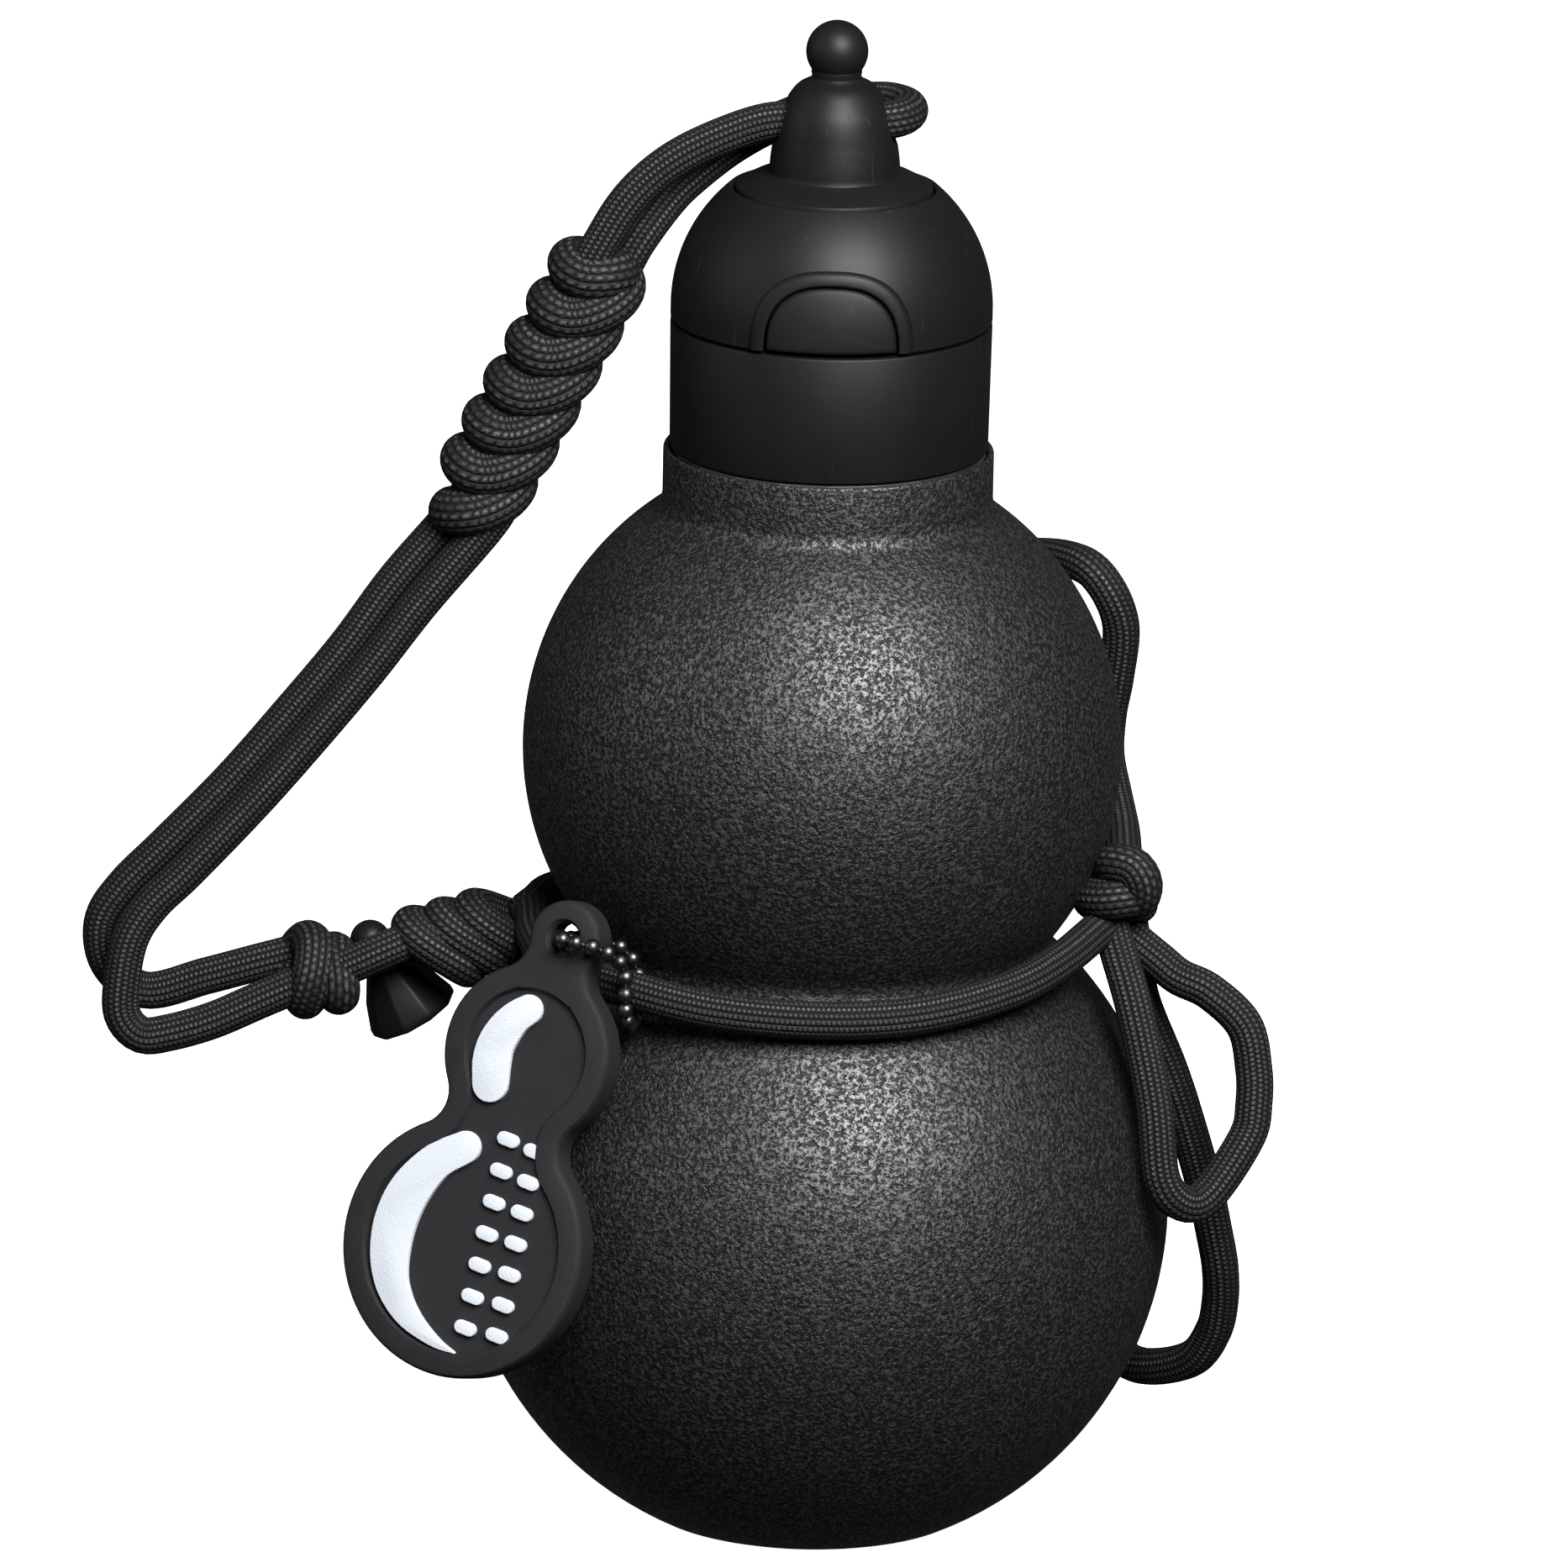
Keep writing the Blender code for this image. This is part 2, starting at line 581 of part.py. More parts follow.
def winding(centre: Vector, axis: Vector, side: Vector, turns: int, half_w: float,
            half_d: float, end_share: float = 1.0) -> list:
    """Points of a wound knot, one unbroken cord whose ends run straight at the back.

    The wraps advance along the axis and slant more across the front than across the back.
    The last wrap is end_share times as wide as the first.
    """
    axis = axis.normalized()
    side = (side - axis * side.dot(axis)).normalized()
    back = axis.cross(side)
    back = back if back.y > 0 else -back
    total = turns * WRAP_POINTS
    points = []
    for i in range(total + 1):
        share = i / WRAP_POINTS
        width = half_d + (half_w - half_d) * (1 + (end_share - 1) * i / total)
        across, depth = loop_place(share, width, half_d)
        slant = -WRAP_SKEW_SHARE * WRAP_PITCH * math.sin(math.tau * share)
        along = WRAP_PITCH * (share - turns / 2) + slant
        points.append(centre + axis * along + side * across + back * depth)
    lead = [points[0] - side * 2 * CORD_R]
    tail = [points[-1] + side * 2 * CORD_R]
    return lead + points + tail


def least_gap(points: list, radius: float, skip: int) -> float:
    """Least gap of a tube to itself between points more than skip places apart."""
    gaps = [
        (points[i] - points[j]).length - 2 * radius
        for i in range(len(points)) for j in range(i + skip, len(points))
    ]
    return min(gaps)


def coil(name: str, points: list, radius: float, skip: int, mat):
    """A wound tube, with its least gap to itself printed."""
    print(f"{name}: least gap to itself {least_gap(points, radius, skip) * 1000:.2f} mm")
    return tube(name, points, radius, 1, mat)


def helix(centre: Vector, axis: Vector, radius: float, turns: float, length: float,
          per_turn: int) -> list:
    """Points of a helix about an axis, centred on a point."""
    axis = axis.normalized()
    side = axis.orthogonal().normalized()
    other = axis.cross(side)
    count = round(turns * per_turn)
    points = []
    for i in range(count + 1):
        angle = math.tau * i / per_turn
        along = length * (i / count - 0.5)
        points.append(centre + axis * along + radius * (side * math.cos(angle) + other * math.sin(angle)))
    return points


def thread_ridge(name: str, radius: float, ridge_r: float, middle_z: float):
    """A helical ridge that is joined to a threaded wall."""
    points = helix(
        Vector((0, 0, middle_z)), Vector((0, 0, 1)), radius, THREAD_TURNS,
        THREAD_TURNS * THREAD_PITCH, WRAP_POINTS,
    )
    ridge = tube(name, points, ridge_r, 1, None)
    bm = bmesh.new()
    bm.from_mesh(ridge.to_mesh())
    bmesh.ops.remove_doubles(bm, verts=bm.verts, dist=ridge_r * MERGE_SHARE)
    bpy.data.objects.remove(ridge, do_unlink=True)
    return add_object(name, mesh_from(name, bm))


def make_outer_shell(mat) -> None:
    """Outer wall: two bulbs and the neck, with a turned-in standing ring."""
    outside = gourd_outline(0.0, 0.0, NECK_R, RIM_Z)
    inside = gourd_outline(SHELL_WALL, BASE_RING_T, NECK_R - SHELL_WALL, RIM_Z)
    ring_r = outside[0][0] - BASE_RING_WIDTH
    profile = outside + inside[::-1] + [(ring_r, BASE_RING_T), (ring_r, 0.0)]
    turned("outer_shell", profile, BODY_SEGMENTS, mat)


def make_inner_liner(mat) -> None:
    """Inner wall with its floor, lip and mouth thread."""
    inset = SHELL_WALL + VACUUM_GAP
    outside = gourd_outline(inset, LINER_FLOOR_Z, LINER_NECK_R + LINER_WALL, RIM_Z - LINER_LIP_T)
    floor_z = LINER_FLOOR_Z + LINER_WALL
    inside = gourd_outline(inset + LINER_WALL, floor_z, LINER_NECK_R, RIM_Z)
    lip_r = NECK_R - SHELL_WALL - CLEARANCE
    lip = [(lip_r, RIM_Z - LINER_LIP_T), (lip_r, RIM_Z)]
    profile = [(0.0, LINER_FLOOR_Z)] + outside + lip + inside[::-1] + [(0.0, floor_z)]
    liner = turned("inner_liner", profile, LINER_SEGMENTS, mat, closed=False)
    middle_z = RIM_Z - LINER_LIP_T - THREAD_TURNS * THREAD_PITCH
    ridge_r = LINER_NECK_R + LINER_WALL * THREAD_SINK_SHARE
    ridge = thread_ridge("liner_thread", ridge_r, LINER_THREAD_R, middle_z)
    combine(liner, ridge, "UNION")


def make_base(steel, dark) -> None:
    """Base plate and the getter that sits on it."""
    plate_r = BASE_R - BASE_RING_WIDTH - CLEARANCE
    profile = [
        (0.0, BASE_PLATE_LIFT), (plate_r, BASE_PLATE_LIFT),
        (plate_r, BASE_PLATE_TOP), (0.0, BASE_PLATE_TOP),
    ]
    turned("base_plate", profile, BODY_SEGMENTS, steel, closed=False)
    start = Vector((GETTER_OFFSET, 0, GETTER_Z))
    rod("getter", start, start + Vector((0, 0, GETTER_H)), GETTER_R, mat=dark)


def make_collar(lid, mat) -> None:
    """Lid collar with the inner flange and the rear hinge ears."""
    flange_z = DECK_TOP_Z - FLANGE_T
    wall_r = COLLAR_R - COLLAR_WALL
    flange_r = wall_r - FLANGE_WIDTH
    profile = [
        (COLLAR_R, COLLAR_Z), (COLLAR_TOP_R, COLLAR_TOP_Z), (wall_r + COLLAR_TAPER, COLLAR_TOP_Z),
        (wall_r + COLLAR_TAPER, DECK_TOP_Z), (flange_r, DECK_TOP_Z), (flange_r, flange_z),
        (wall_r, flange_z), (wall_r, COLLAR_Z),
    ]
    collar = turned("lid_collar", profile, LID_SEGMENTS, mat)
    near = SPRING_SPAN / 2 + CLEARANCE + COVER_EAR_W + CLEARANCE
    for side in (-1, 1):
        ends = sorted((side * near, side * (near + COLLAR_EAR_W)))
        low = (ends[0], COLLAR_TOP_R - EAR_ROOT, COLLAR_TOP_Z - EAR_WEB_T - SEAM)
        web = box(f"collar_ear_web_{side}", low, (ends[1], HINGE_Y, COLLAR_TOP_Z - SEAM))
        knuckle = hinge_rod(f"collar_knuckle_{side}", ends, KNUCKLE_R)
        hole = hinge_rod(f"collar_pin_hole_{side}", grown(ends), PIN_R + CLEARANCE)
        combine(collar, web, "UNION")
        combine(collar, knuckle, "UNION")
        combine(collar, hole, "DIFFERENCE")
    hold(collar, lid)


def grown(ends: list) -> tuple:
    """A span made longer at both ends for a cutter."""
    return ends[0] - CLEARANCE / 2, ends[1] + CLEARANCE / 2


def hinge_rod(name: str, ends, radius: float, mat=None):
    """A rod along the hinge axis between two x places."""
    return rod(name, Vector((ends[0], HINGE_Y, HINGE_Z)), Vector((ends[1], HINGE_Y, HINGE_Z)),
               radius, mat=mat)


def make_insert(lid, mat) -> None:
    """Threaded stopper with the deck under the dome and the button's guide."""
    deck_r = COLLAR_R - COLLAR_WALL - FLANGE_WIDTH - CLEARANCE
    shoulder_r = COLLAR_R - COLLAR_WALL - CLEARANCE
    shoulder_z = DECK_TOP_Z - FLANGE_T - CLEARANCE
    plug_z = RIM_Z - PLUG_DEPTH
    seal_low = plug_z + SEAL_RISE - CLEARANCE
    seal_high = plug_z + SEAL_RISE + SEAL_T + CLEARANCE
    groove_r = PLUG_R - SEAL_GROOVE_DEPTH
    hollow_r = groove_r - PLUG_WALL / 2
    floor_z = plug_z + PLUG_FLOOR_T
    profile = [
        (deck_r, DECK_TOP_Z), (deck_r, shoulder_z), (shoulder_r, shoulder_z), (shoulder_r, COLLAR_Z),
        (PLUG_R, COLLAR_Z), (PLUG_R, seal_high), (groove_r, seal_high), (groove_r, seal_low),
        (PLUG_R, seal_low), (PLUG_R, plug_z), (SPOUT_BORE_R, plug_z), (SPOUT_BORE_R, floor_z),
        (hollow_r, floor_z), (hollow_r, DECK_TOP_Z - DECK_T), (SPOUT_BORE_R, DECK_TOP_Z - DECK_T),
        (SPOUT_BORE_R, DECK_TOP_Z),
    ]
    insert = turned("lid_insert", profile, LID_SEGMENTS, mat)
    middle_z = RIM_Z - LINER_LIP_T - THREAD_TURNS * THREAD_PITCH + THREAD_PITCH / 2
    ridge_r = PLUG_R + INSERT_THREAD_R * THREAD_SINK_SHARE
    ridge = thread_ridge("insert_thread", ridge_r, INSERT_THREAD_R, middle_z)
    combine(insert, ridge, "UNION")
    back_y = guide_back_y()
    outer = STEM_HALF_W + CLEARANCE + GUIDE_WALL
    guide = box("guide_block", (-outer, back_y - GUIDE_DEPTH, DECK_TOP_Z - DECK_T / 2),
                (outer, back_y + GUIDE_WALL, DECK_TOP_Z + GUIDE_H))
    inner = STEM_HALF_W + CLEARANCE
    slot = box("guide_slot", (-inner, back_y - GUIDE_DEPTH - OVERRUN, DECK_TOP_Z + CLEARANCE),
               (inner, back_y, DECK_TOP_Z + GUIDE_H + OVERRUN))
    combine(guide, slot, "DIFFERENCE")
    combine(insert, guide, "UNION")
    hold(insert, lid)


def make_seal_ring(lid, mat) -> None:
    """Silicone ring in the stopper's groove, chamfered outside."""
    low = RIM_Z - PLUG_DEPTH + SEAL_RISE
    high = low + SEAL_T
    inner = PLUG_R - SEAL_GROOVE_DEPTH + CLEARANCE
    outer = LINER_NECK_R - 2 * CLEARANCE
    profile = [
        (inner, low), (outer - SEAL_CHAMFER, low), (outer, low + SEAL_CHAMFER), (outer, high - SEAL_CHAMFER),
        (outer - SEAL_CHAMFER, high), (inner, high),
    ]
    hold(turned("lid_seal_ring", profile, LID_SEGMENTS, mat), lid)


def make_spout(lid, mat) -> None:
    """Drinking spout that stands on the deck."""
    outer = SPOUT_BORE_R + SPOUT_WALL
    profile = [
        (SPOUT_FLANGE_R, SPOUT_Z), (SPOUT_FLANGE_R, SPOUT_Z + SPOUT_FLANGE_T),
        (outer, SPOUT_Z + SPOUT_FLANGE_T), (outer, SPOUT_TOP_Z - SPOUT_LIP),
        (outer - SPOUT_LIP, SPOUT_TOP_Z), (SPOUT_BORE_R + SPOUT_LIP, SPOUT_TOP_Z),
        (SPOUT_BORE_R, SPOUT_TOP_Z - SPOUT_LIP), (SPOUT_BORE_R, SPOUT_Z),
    ]
    hold(turned("spout", profile, SPOUT_SEGMENTS, mat), lid)


def make_hinge(lid, steel) -> None:
    """Hinge pin and the torsion spring round it."""
    reach = SPRING_SPAN / 2 + 2 * CLEARANCE + COVER_EAR_W + COLLAR_EAR_W
    hold(hinge_rod("hinge_pin", (-reach, reach), PIN_R, steel), lid)
    length = SPRING_SPAN - 2 * (CLEARANCE + HINGE_SPRING_WIRE_R)
    points = helix(Vector((0, HINGE_Y, HINGE_Z)), Vector((1, 0, 0)), HINGE_SPRING_R,
                   HINGE_SPRING_TURNS, length, SPRING_POINTS)
    hold(coil("hinge_spring", points, HINGE_SPRING_WIRE_R, SPRING_POINTS // 2, steel), lid)


def guide_back_y() -> float:
    """Front face of the guide's rear wall, behind the button's spring."""
    return -COLLAR_TOP_R + BUTTON_T + STEM_LENGTH + CLEARANCE + SPRING_SPACE


def make_button(button_pivot, lid, mat, steel) -> None:
    """D-shaped button flush with the dome, its stem and its spring."""
    skin = dome_outline(0.0, DOME_Z, DISC_R)
    back = dome_outline(BUTTON_T, DOME_Z, DISC_R)
    button = turned("button", skin + back[::-1], LID_SEGMENTS, mat)
    face = prism("button_face", arch_outline(0.0, BUTTON_Z), -COLLAR_TOP_R - OVERRUN, -DISC_R)
    combine(button, face, "INTERSECT")
    inner_y = -COLLAR_TOP_R + BUTTON_T
    stem_z = BUTTON_Z + STEM_LIFT
    stem = box("button_stem", (-STEM_HALF_W, inner_y - BUTTON_T / 2, stem_z),
               (STEM_HALF_W, inner_y + STEM_LENGTH, stem_z + STEM_H))
    combine(button, stem, "UNION")
    hold(button, button_pivot)
    centre = Vector((0, inner_y + STEM_LENGTH + CLEARANCE + SPRING_SPACE / 2, stem_z + STEM_H / 2))
    length = SPRING_SPACE - 2 * (CLEARANCE + BUTTON_SPRING_WIRE_R)
    points = helix(centre, Vector((0, 1, 0)), BUTTON_SPRING_R, BUTTON_SPRING_TURNS, length, SPRING_POINTS)
    hold(coil("button_spring", points, BUTTON_SPRING_WIRE_R, SPRING_POINTS // 2, steel), lid)


def make_dome(cover, mat) -> None:
    """Dome cover with its arch cut-out, raised arch ridge, latch hook and hinge ears."""
    hole_r = BOSS_R + CLEARANCE
    recess_r = DISC_R + CLEARANCE
    outside = dome_outline(0.0, DOME_Z, recess_r)
    inner_end = (COLLAR_TOP_R - DOME_WALL) * math.sqrt(
        1 - ((DOME_CEILING_Z - DOME_EQUATOR_Z) / (DOME_RISE - DOME_WALL)) ** 2)
    inside = dome_outline(DOME_WALL, DOME_Z, inner_end)
    profile = outside + [(recess_r, RECESS_Z), (hole_r, RECESS_Z), (hole_r, DOME_CEILING_Z)] + inside[::-1]
    dome = turned("dome_cover", profile, LID_SEGMENTS, mat)
    ridge_skin = dome_outline(-RIDGE_RISE, DOME_Z, DISC_R)
    ridge_back = dome_outline(DOME_WALL / 2, DOME_Z, DISC_R)
    ridge = turned("arch_ridge", ridge_skin + ridge_back[::-1], LID_SEGMENTS)
    ridge_face = prism("ridge_face", arch_outline(CLEARANCE + RIDGE_W, DOME_Z + SEAM),
                       -COLLAR_TOP_R - OVERRUN, -DISC_R)
    combine(ridge, ridge_face, "INTERSECT")
    combine(dome, ridge, "UNION")
    opening = prism("arch_opening", arch_outline(CLEARANCE, DOME_Z - OVERRUN),
                    -COLLAR_TOP_R - OVERRUN, -SPOUT_FLANGE_R)
    combine(dome, opening, "DIFFERENCE")
    hook_z = BUTTON_Z + BUTTON_H
    hook_y = -COLLAR_TOP_R + BUTTON_T + HOOK_SETBACK
    hook = box("latch_hook", (-HOOK_W / 2, hook_y - HOOK_T, hook_z - HOOK_DROP),
               (HOOK_W / 2, hook_y, dome_height(-hook_y, DOME_WALL / 2)))
    combine(dome, hook, "UNION")
    near = SPRING_SPAN / 2 + CLEARANCE
    for side in (-1, 1):
        ends = sorted((side * near, side * (near + COVER_EAR_W)))
        low = (ends[0], COLLAR_TOP_R - EAR_ROOT, DOME_Z)
        web = box(f"cover_ear_web_{side}", low, (ends[1], HINGE_Y, DOME_Z + EAR_WEB_T))
        knuckle = hinge_rod(f"cover_knuckle_{side}", ends, KNUCKLE_R)
        hole = hinge_rod(f"cover_pin_hole_{side}", grown(ends), PIN_R + CLEARANCE)
        combine(dome, web, "UNION")
        combine(dome, knuckle, "UNION")
        combine(dome, hole, "DIFFERENCE")
    hold(dome, cover)


def make_finial(cover, mat, steel) -> None:
    """Inset disc, bell and ball in one moulding, with the cord hole and the screw boss."""
    ball_z = BELL_Z + BELL_H + BALL_R - BALL_OVERLAP
    bell = []
    for i in range(BELL_STEPS + 1):
        angle = math.pi / 2 * i / BELL_STEPS
        radius = BELL_TOP_R + (BELL_BASE_R - BELL_TOP_R) * math.cos(angle) ** BELL_CURVE_POWER
        bell.append((radius, BELL_Z + BELL_H * math.sin(angle)))
    ball_start = math.asin((BELL_Z + BELL_H - ball_z) / BALL_R)
    ball = arc((0.0, ball_z), BALL_R, ball_start, math.pi / 2)
    ball[-1] = (0.0, ball_z + BALL_R)
    rise = [(DISC_R, DISC_Z - DISC_T), (DISC_R, DISC_Z)]
    slope = [((DISC_R + BELL_BASE_R) / 2, DISC_Z + BELL_BASE_LIFT * DISC_SLOPE_SHARE)]
    boss_z = COVER_LINER_TOP_Z + CLEARANCE
    thread_r = SCREW_SHANK_R + CLEARANCE
    boss = [(0.0, boss_z + SCREW_BITE), (thread_r, boss_z + SCREW_BITE), (thread_r, boss_z),
            (BOSS_R, boss_z), (BOSS_R, DISC_Z - DISC_T)]
    finial = turned("finial", boss + rise + slope + bell + ball, FINIAL_SEGMENTS, mat, closed=False)
    reach = BELL_BASE_R + OVERRUN
    mouth = BELL_BASE_R - 2 * CORD_HOLE_FLARE
    wide = CORD_HOLE_R + 2 * CORD_HOLE_FLARE
    profile = [
        (0.0, -reach), (wide, -reach), (CORD_HOLE_R, -mouth), (CORD_HOLE_R, mouth), (wide, reach),
        (0.0, reach),
    ]
    hole = turned("cord_hole", profile, SMALL_SEGMENTS, closed=False)
    hole.location = (0, 0, CORD_HOLE_Z)
    hole.rotation_euler = (0, math.pi / 2, 0)
    combine(finial, hole, "DIFFERENCE")
    hold(finial, cover)
    head_top = COVER_LINER_TOP_Z - COVER_LINER_T - CLEARANCE
    profile = [
        (0.0, head_top - SCREW_HEAD_H), (SCREW_HEAD_R, head_top - SCREW_HEAD_H), (SCREW_HEAD_R, head_top),
        (SCREW_SHANK_R, head_top), (SCREW_SHANK_R, COVER_LINER_TOP_Z + SCREW_BITE - CLEARANCE),
        (0.0, COVER_LINER_TOP_Z + SCREW_BITE - CLEARANCE),
    ]
    hold(turned("finial_screw", profile, SMALL_SEGMENTS, steel, closed=False), cover)


def make_cover_liner(cover, mat, silicone) -> None:
    """Plate under the dome with the pocket for the spout plug, and the plug."""
    top = COVER_LINER_TOP_Z
    under = top - COVER_LINER_T
    pocket_low = under - PLUG_POCKET_DEPTH
    hole_r = SCREW_SHANK_R + CLEARANCE
    pocket_outer = PLUG_POCKET_R + PLUG_POCKET_WALL
    profile = [
        (hole_r, top), (COVER_LINER_R, top), (COVER_LINER_R, under), (pocket_outer, under),
        (pocket_outer, pocket_low), (PLUG_POCKET_R, pocket_low), (PLUG_POCKET_R, under), (hole_r, under),
    ]
    hold(turned("cover_liner", profile, SPOUT_SEGMENTS, mat), cover)
    plug_r = PLUG_POCKET_R - CLEARANCE
    low = SPOUT_TOP_Z + CLEARANCE
    profile = [
        (0.0, low - NIPPLE_DEPTH), (NIPPLE_R, low - NIPPLE_DEPTH), (NIPPLE_R, low), (plug_r, low),
        (plug_r, PLUG_TOP_Z), (0.0, PLUG_TOP_Z),
    ]
    hold(turned("spout_plug", profile, SPOUT_SEGMENTS, silicone, closed=False), cover)


def make_cords(cover, lid, mat) -> None:
    """Free stretches of the cord and its wound knots."""
    top = tube("strap_top_loop", smooth_points(STRAP_TOP_ROUTE, LOOP_STEP), CORD_R, CORD_RESOLUTION, mat)
    hold(top, cover)
    snake = winding(SNAKE_CENTRE, SNAKE_AXIS, Vector((1, 0, 0)), SNAKE_TURNS, SNAKE_HALF_W, SNAKE_HALF_D)
    hold(coil("snake_knot", snake, CORD_R, WRAP_POINTS // 3, mat), lid)
    routes = {
        "strap_lower_a": STRAP_LOWER_A_ROUTE, "strap_lower_b": STRAP_LOWER_B_ROUTE,
        "clip_link": CLIP_LINK_ROUTE, "waist_cord_front": WAIST_FRONT_ROUTE,
        "waist_cord_rear": WAIST_REAR_ROUTE, "bow_loop_front": BOW_FRONT_ROUTE,
        "bow_loop_rear": BOW_REAR_ROUTE,
    }
    for name, route in routes.items():
        tube(name, smooth_points(route, CORD_STEP), CORD_R, CORD_RESOLUTION, mat)
    up = Vector((0, 0, 1))
    stop = winding(STOP_CENTRE, STOP_AXIS, up, 1, STOP_HALF_W, KNOT_HALF_D)
    coil("stop_knot", stop, CORD_R, WRAP_POINTS // 3, mat)
    slide = winding(SLIDE_CENTRE, SLIDE_AXIS, -up, SLIDE_TURNS, SLIDE_HALF_W, KNOT_HALF_D)
    coil("slide_knot", slide, CORD_R, WRAP_POINTS // 3, mat)
    bow = winding(BOW_CENTRE, BOW_AXIS, Vector((1, 0, 0)), 1, BOW_HALF_W, KNOT_HALF_D)
    coil("bow_knot", bow, CORD_R, WRAP_POINTS // 3, mat)


def make_clip(mat) -> None:
    """Plastic cord clip: a round lobe, a narrow neck and a flared foot."""
    lobe = arc((0.0, 0.0), CLIP_LOBE_R, -math.pi / 2, math.pi / 4)
    lobe[0] = (0.0, -CLIP_LOBE_R)
    flare = [
        (CLIP_NECK_R, CLIP_LOBE_R), ((CLIP_NECK_R + CLIP_FLARE_R) / 2, (CLIP_LOBE_R + CLIP_LENGTH) / 2),
        (CLIP_FLARE_R, CLIP_LENGTH - CLIP_LOBE_R), (CLIP_FLARE_R, CLIP_LENGTH - CLIP_LOBE_R / 2),
        (0.0, CLIP_LENGTH - CLIP_LOBE_R / 2),
    ]
    clip = turned("cord_clip", lobe + flare, SMALL_SEGMENTS, mat, closed=False)
    clip.location = CLIP_TOP
    clip.rotation_euler = CLIP_AXIS.to_track_quat("Z", "Y").to_euler()


def tag_frame() -> tuple:
    """Hole centre, across, down and outward directions of the tag.

    The tag's back face stands off the lower bulb, which it leans over.
    """
    out = Vector((-math.sin(TAG_TURN) * math.cos(TAG_LEAN), -math.cos(TAG_TURN) * math.cos(TAG_LEAN),
                  math.sin(TAG_LEAN)))
    plane = LOWER_Z * out.z + LOWER_BULB_R + TAG_STANDOFF + TAG_T / 2
    hole_y = (plane - TAG_HOLE_X * out.x - TAG_HOLE_Z * out.z) / out.y
    down = -Vector((0, 0, 1)) + out * out.z
    down.normalize()
    down = Matrix.Rotation(-TAG_ROLL, 3, out) @ down
    return Vector((TAG_HOLE_X, hole_y, TAG_HOLE_Z)), out.cross(down), down, out


def tag_outline(inset: float) -> list:
    """Outline of the tag, one side and then its mirror, as (across, down) points."""
    ear = TAG_EAR_R - inset
    small = TAG_SMALL_R - inset
    large = TAG_LARGE_R - inset
    fillet = TAG_FILLET_R + inset
    first = fillet_centre(0.0, ear, TAG_SMALL_DROP, small, fillet)
    second = fillet_centre(TAG_SMALL_DROP, small, TAG_LARGE_DROP, large, fillet)
    to_first = math.atan2(first[1], first[0])
    from_first = math.atan2(first[1] - TAG_SMALL_DROP, first[0])
    to_second = math.atan2(second[1] - TAG_SMALL_DROP, second[0])
    from_second = math.atan2(second[1] - TAG_LARGE_DROP, second[0])
    half = arc((0.0, 0.0), ear, -math.pi / 2, to_first)
    half += arc(first, fillet, to_first + math.pi, from_first + math.pi)[1:-1]
    half += arc((0.0, TAG_SMALL_DROP), small, from_first, to_second)
    half += arc(second, fillet, to_second + math.pi, from_second + math.pi)[1:-1]
    half += arc((0.0, TAG_LARGE_DROP), large, from_second, math.pi / 2)
    return half[:-1] + [(0.0, half[-1][1])] + [(-x, y) for x, y in half[-2:0:-1]]


def slab(name: str, outline: list, low: float, high: float, frame: tuple, mat=None):
    """Extrude an outline in the tag's plane between two heights over its middle plane."""
    hole, across, down, out = frame
    bm = bmesh.new()
    face = bm.faces.new([bm.verts.new(hole + across * x + down * y + out * low) for x, y in outline])
    run = bmesh.ops.extrude_face_region(bm, geom=[face])
    moved = [item for item in run["geom"] if isinstance(item, bmesh.types.BMVert)]
    bmesh.ops.translate(bm, vec=out * (high - low), verts=moved)
    return add_object(name, mesh_from(name, bm), mat)


def crescent(drop: float, radius: float, half_w: float, start: float, end: float, tail: float) -> list:
    """Outline of a curved inlay that follows a round of the tag, thinning towards its end."""
    steps = INLAY_STEPS
    outer = []
    inner = []
    for i in range(steps + 1):
        share = i / steps
        angle = start + (end - start) * share
        swell = math.sin(math.pi * share ** tail) ** 0.5 if 0 < i < steps else 0.0
        middle = radius - half_w
        for side, points in ((1, outer), (-1, inner)):
            r = middle + side * half_w * swell
            points.append((r * math.cos(angle), drop + r * math.sin(angle)))
    return outer + inner[-2:0:-1]


def make_tag(tag, rubber, white, metal) -> None:
    """Rubber tag with its raised rim, the inlays and the bead chain."""
    frame = tag_frame()
    hole, across, down, out = frame
    body = slab("tag_body", tag_outline(0.0), -TAG_T / 2, TAG_T / 2, frame, rubber)
    field = slab("tag_field", [p for p in tag_outline(TAG_RIM_W) if p[1] > TAG_EAR_R],
                 TAG_T / 2 - TAG_FIELD_DEPTH, TAG_T / 2 + OVERRUN, frame)
    combine(body, field, "DIFFERENCE")
    cut = rod("tag_hole", hole - out * (TAG_T / 2 + OVERRUN), hole + out * (TAG_T / 2 + OVERRUN), TAG_HOLE_R)
    combine(body, cut, "DIFFERENCE")
    hold(body, tag)
    low = TAG_T / 2 - TAG_FIELD_DEPTH + CLEARANCE
    margin = TAG_RIM_W + INLAY_MARGIN
    shapes = {
        "tag_inlay_upper": crescent(TAG_SMALL_DROP, TAG_SMALL_R - margin, INLAY_UPPER_HALF_W,
                                    INLAY_START, INLAY_UPPER_END, INLAY_TAIL_SHARE),
        "tag_inlay_lower": crescent(TAG_LARGE_DROP, TAG_LARGE_R - margin, INLAY_LOWER_HALF_W,
                                    INLAY_START, INLAY_LOWER_END, INLAY_TAIL_SHARE),
    }
    for name, outline in shapes.items():
        hold(slab(name, outline, low, low + INLAY_T, frame, white), tag)
    route = [hole] + CHAIN_ROUTE
    points = smooth_points(route + route[:1], CHAIN_STEP)
    tube("tag_chain", points[:-1], CHAIN_R, 1, metal, cyclic=True)


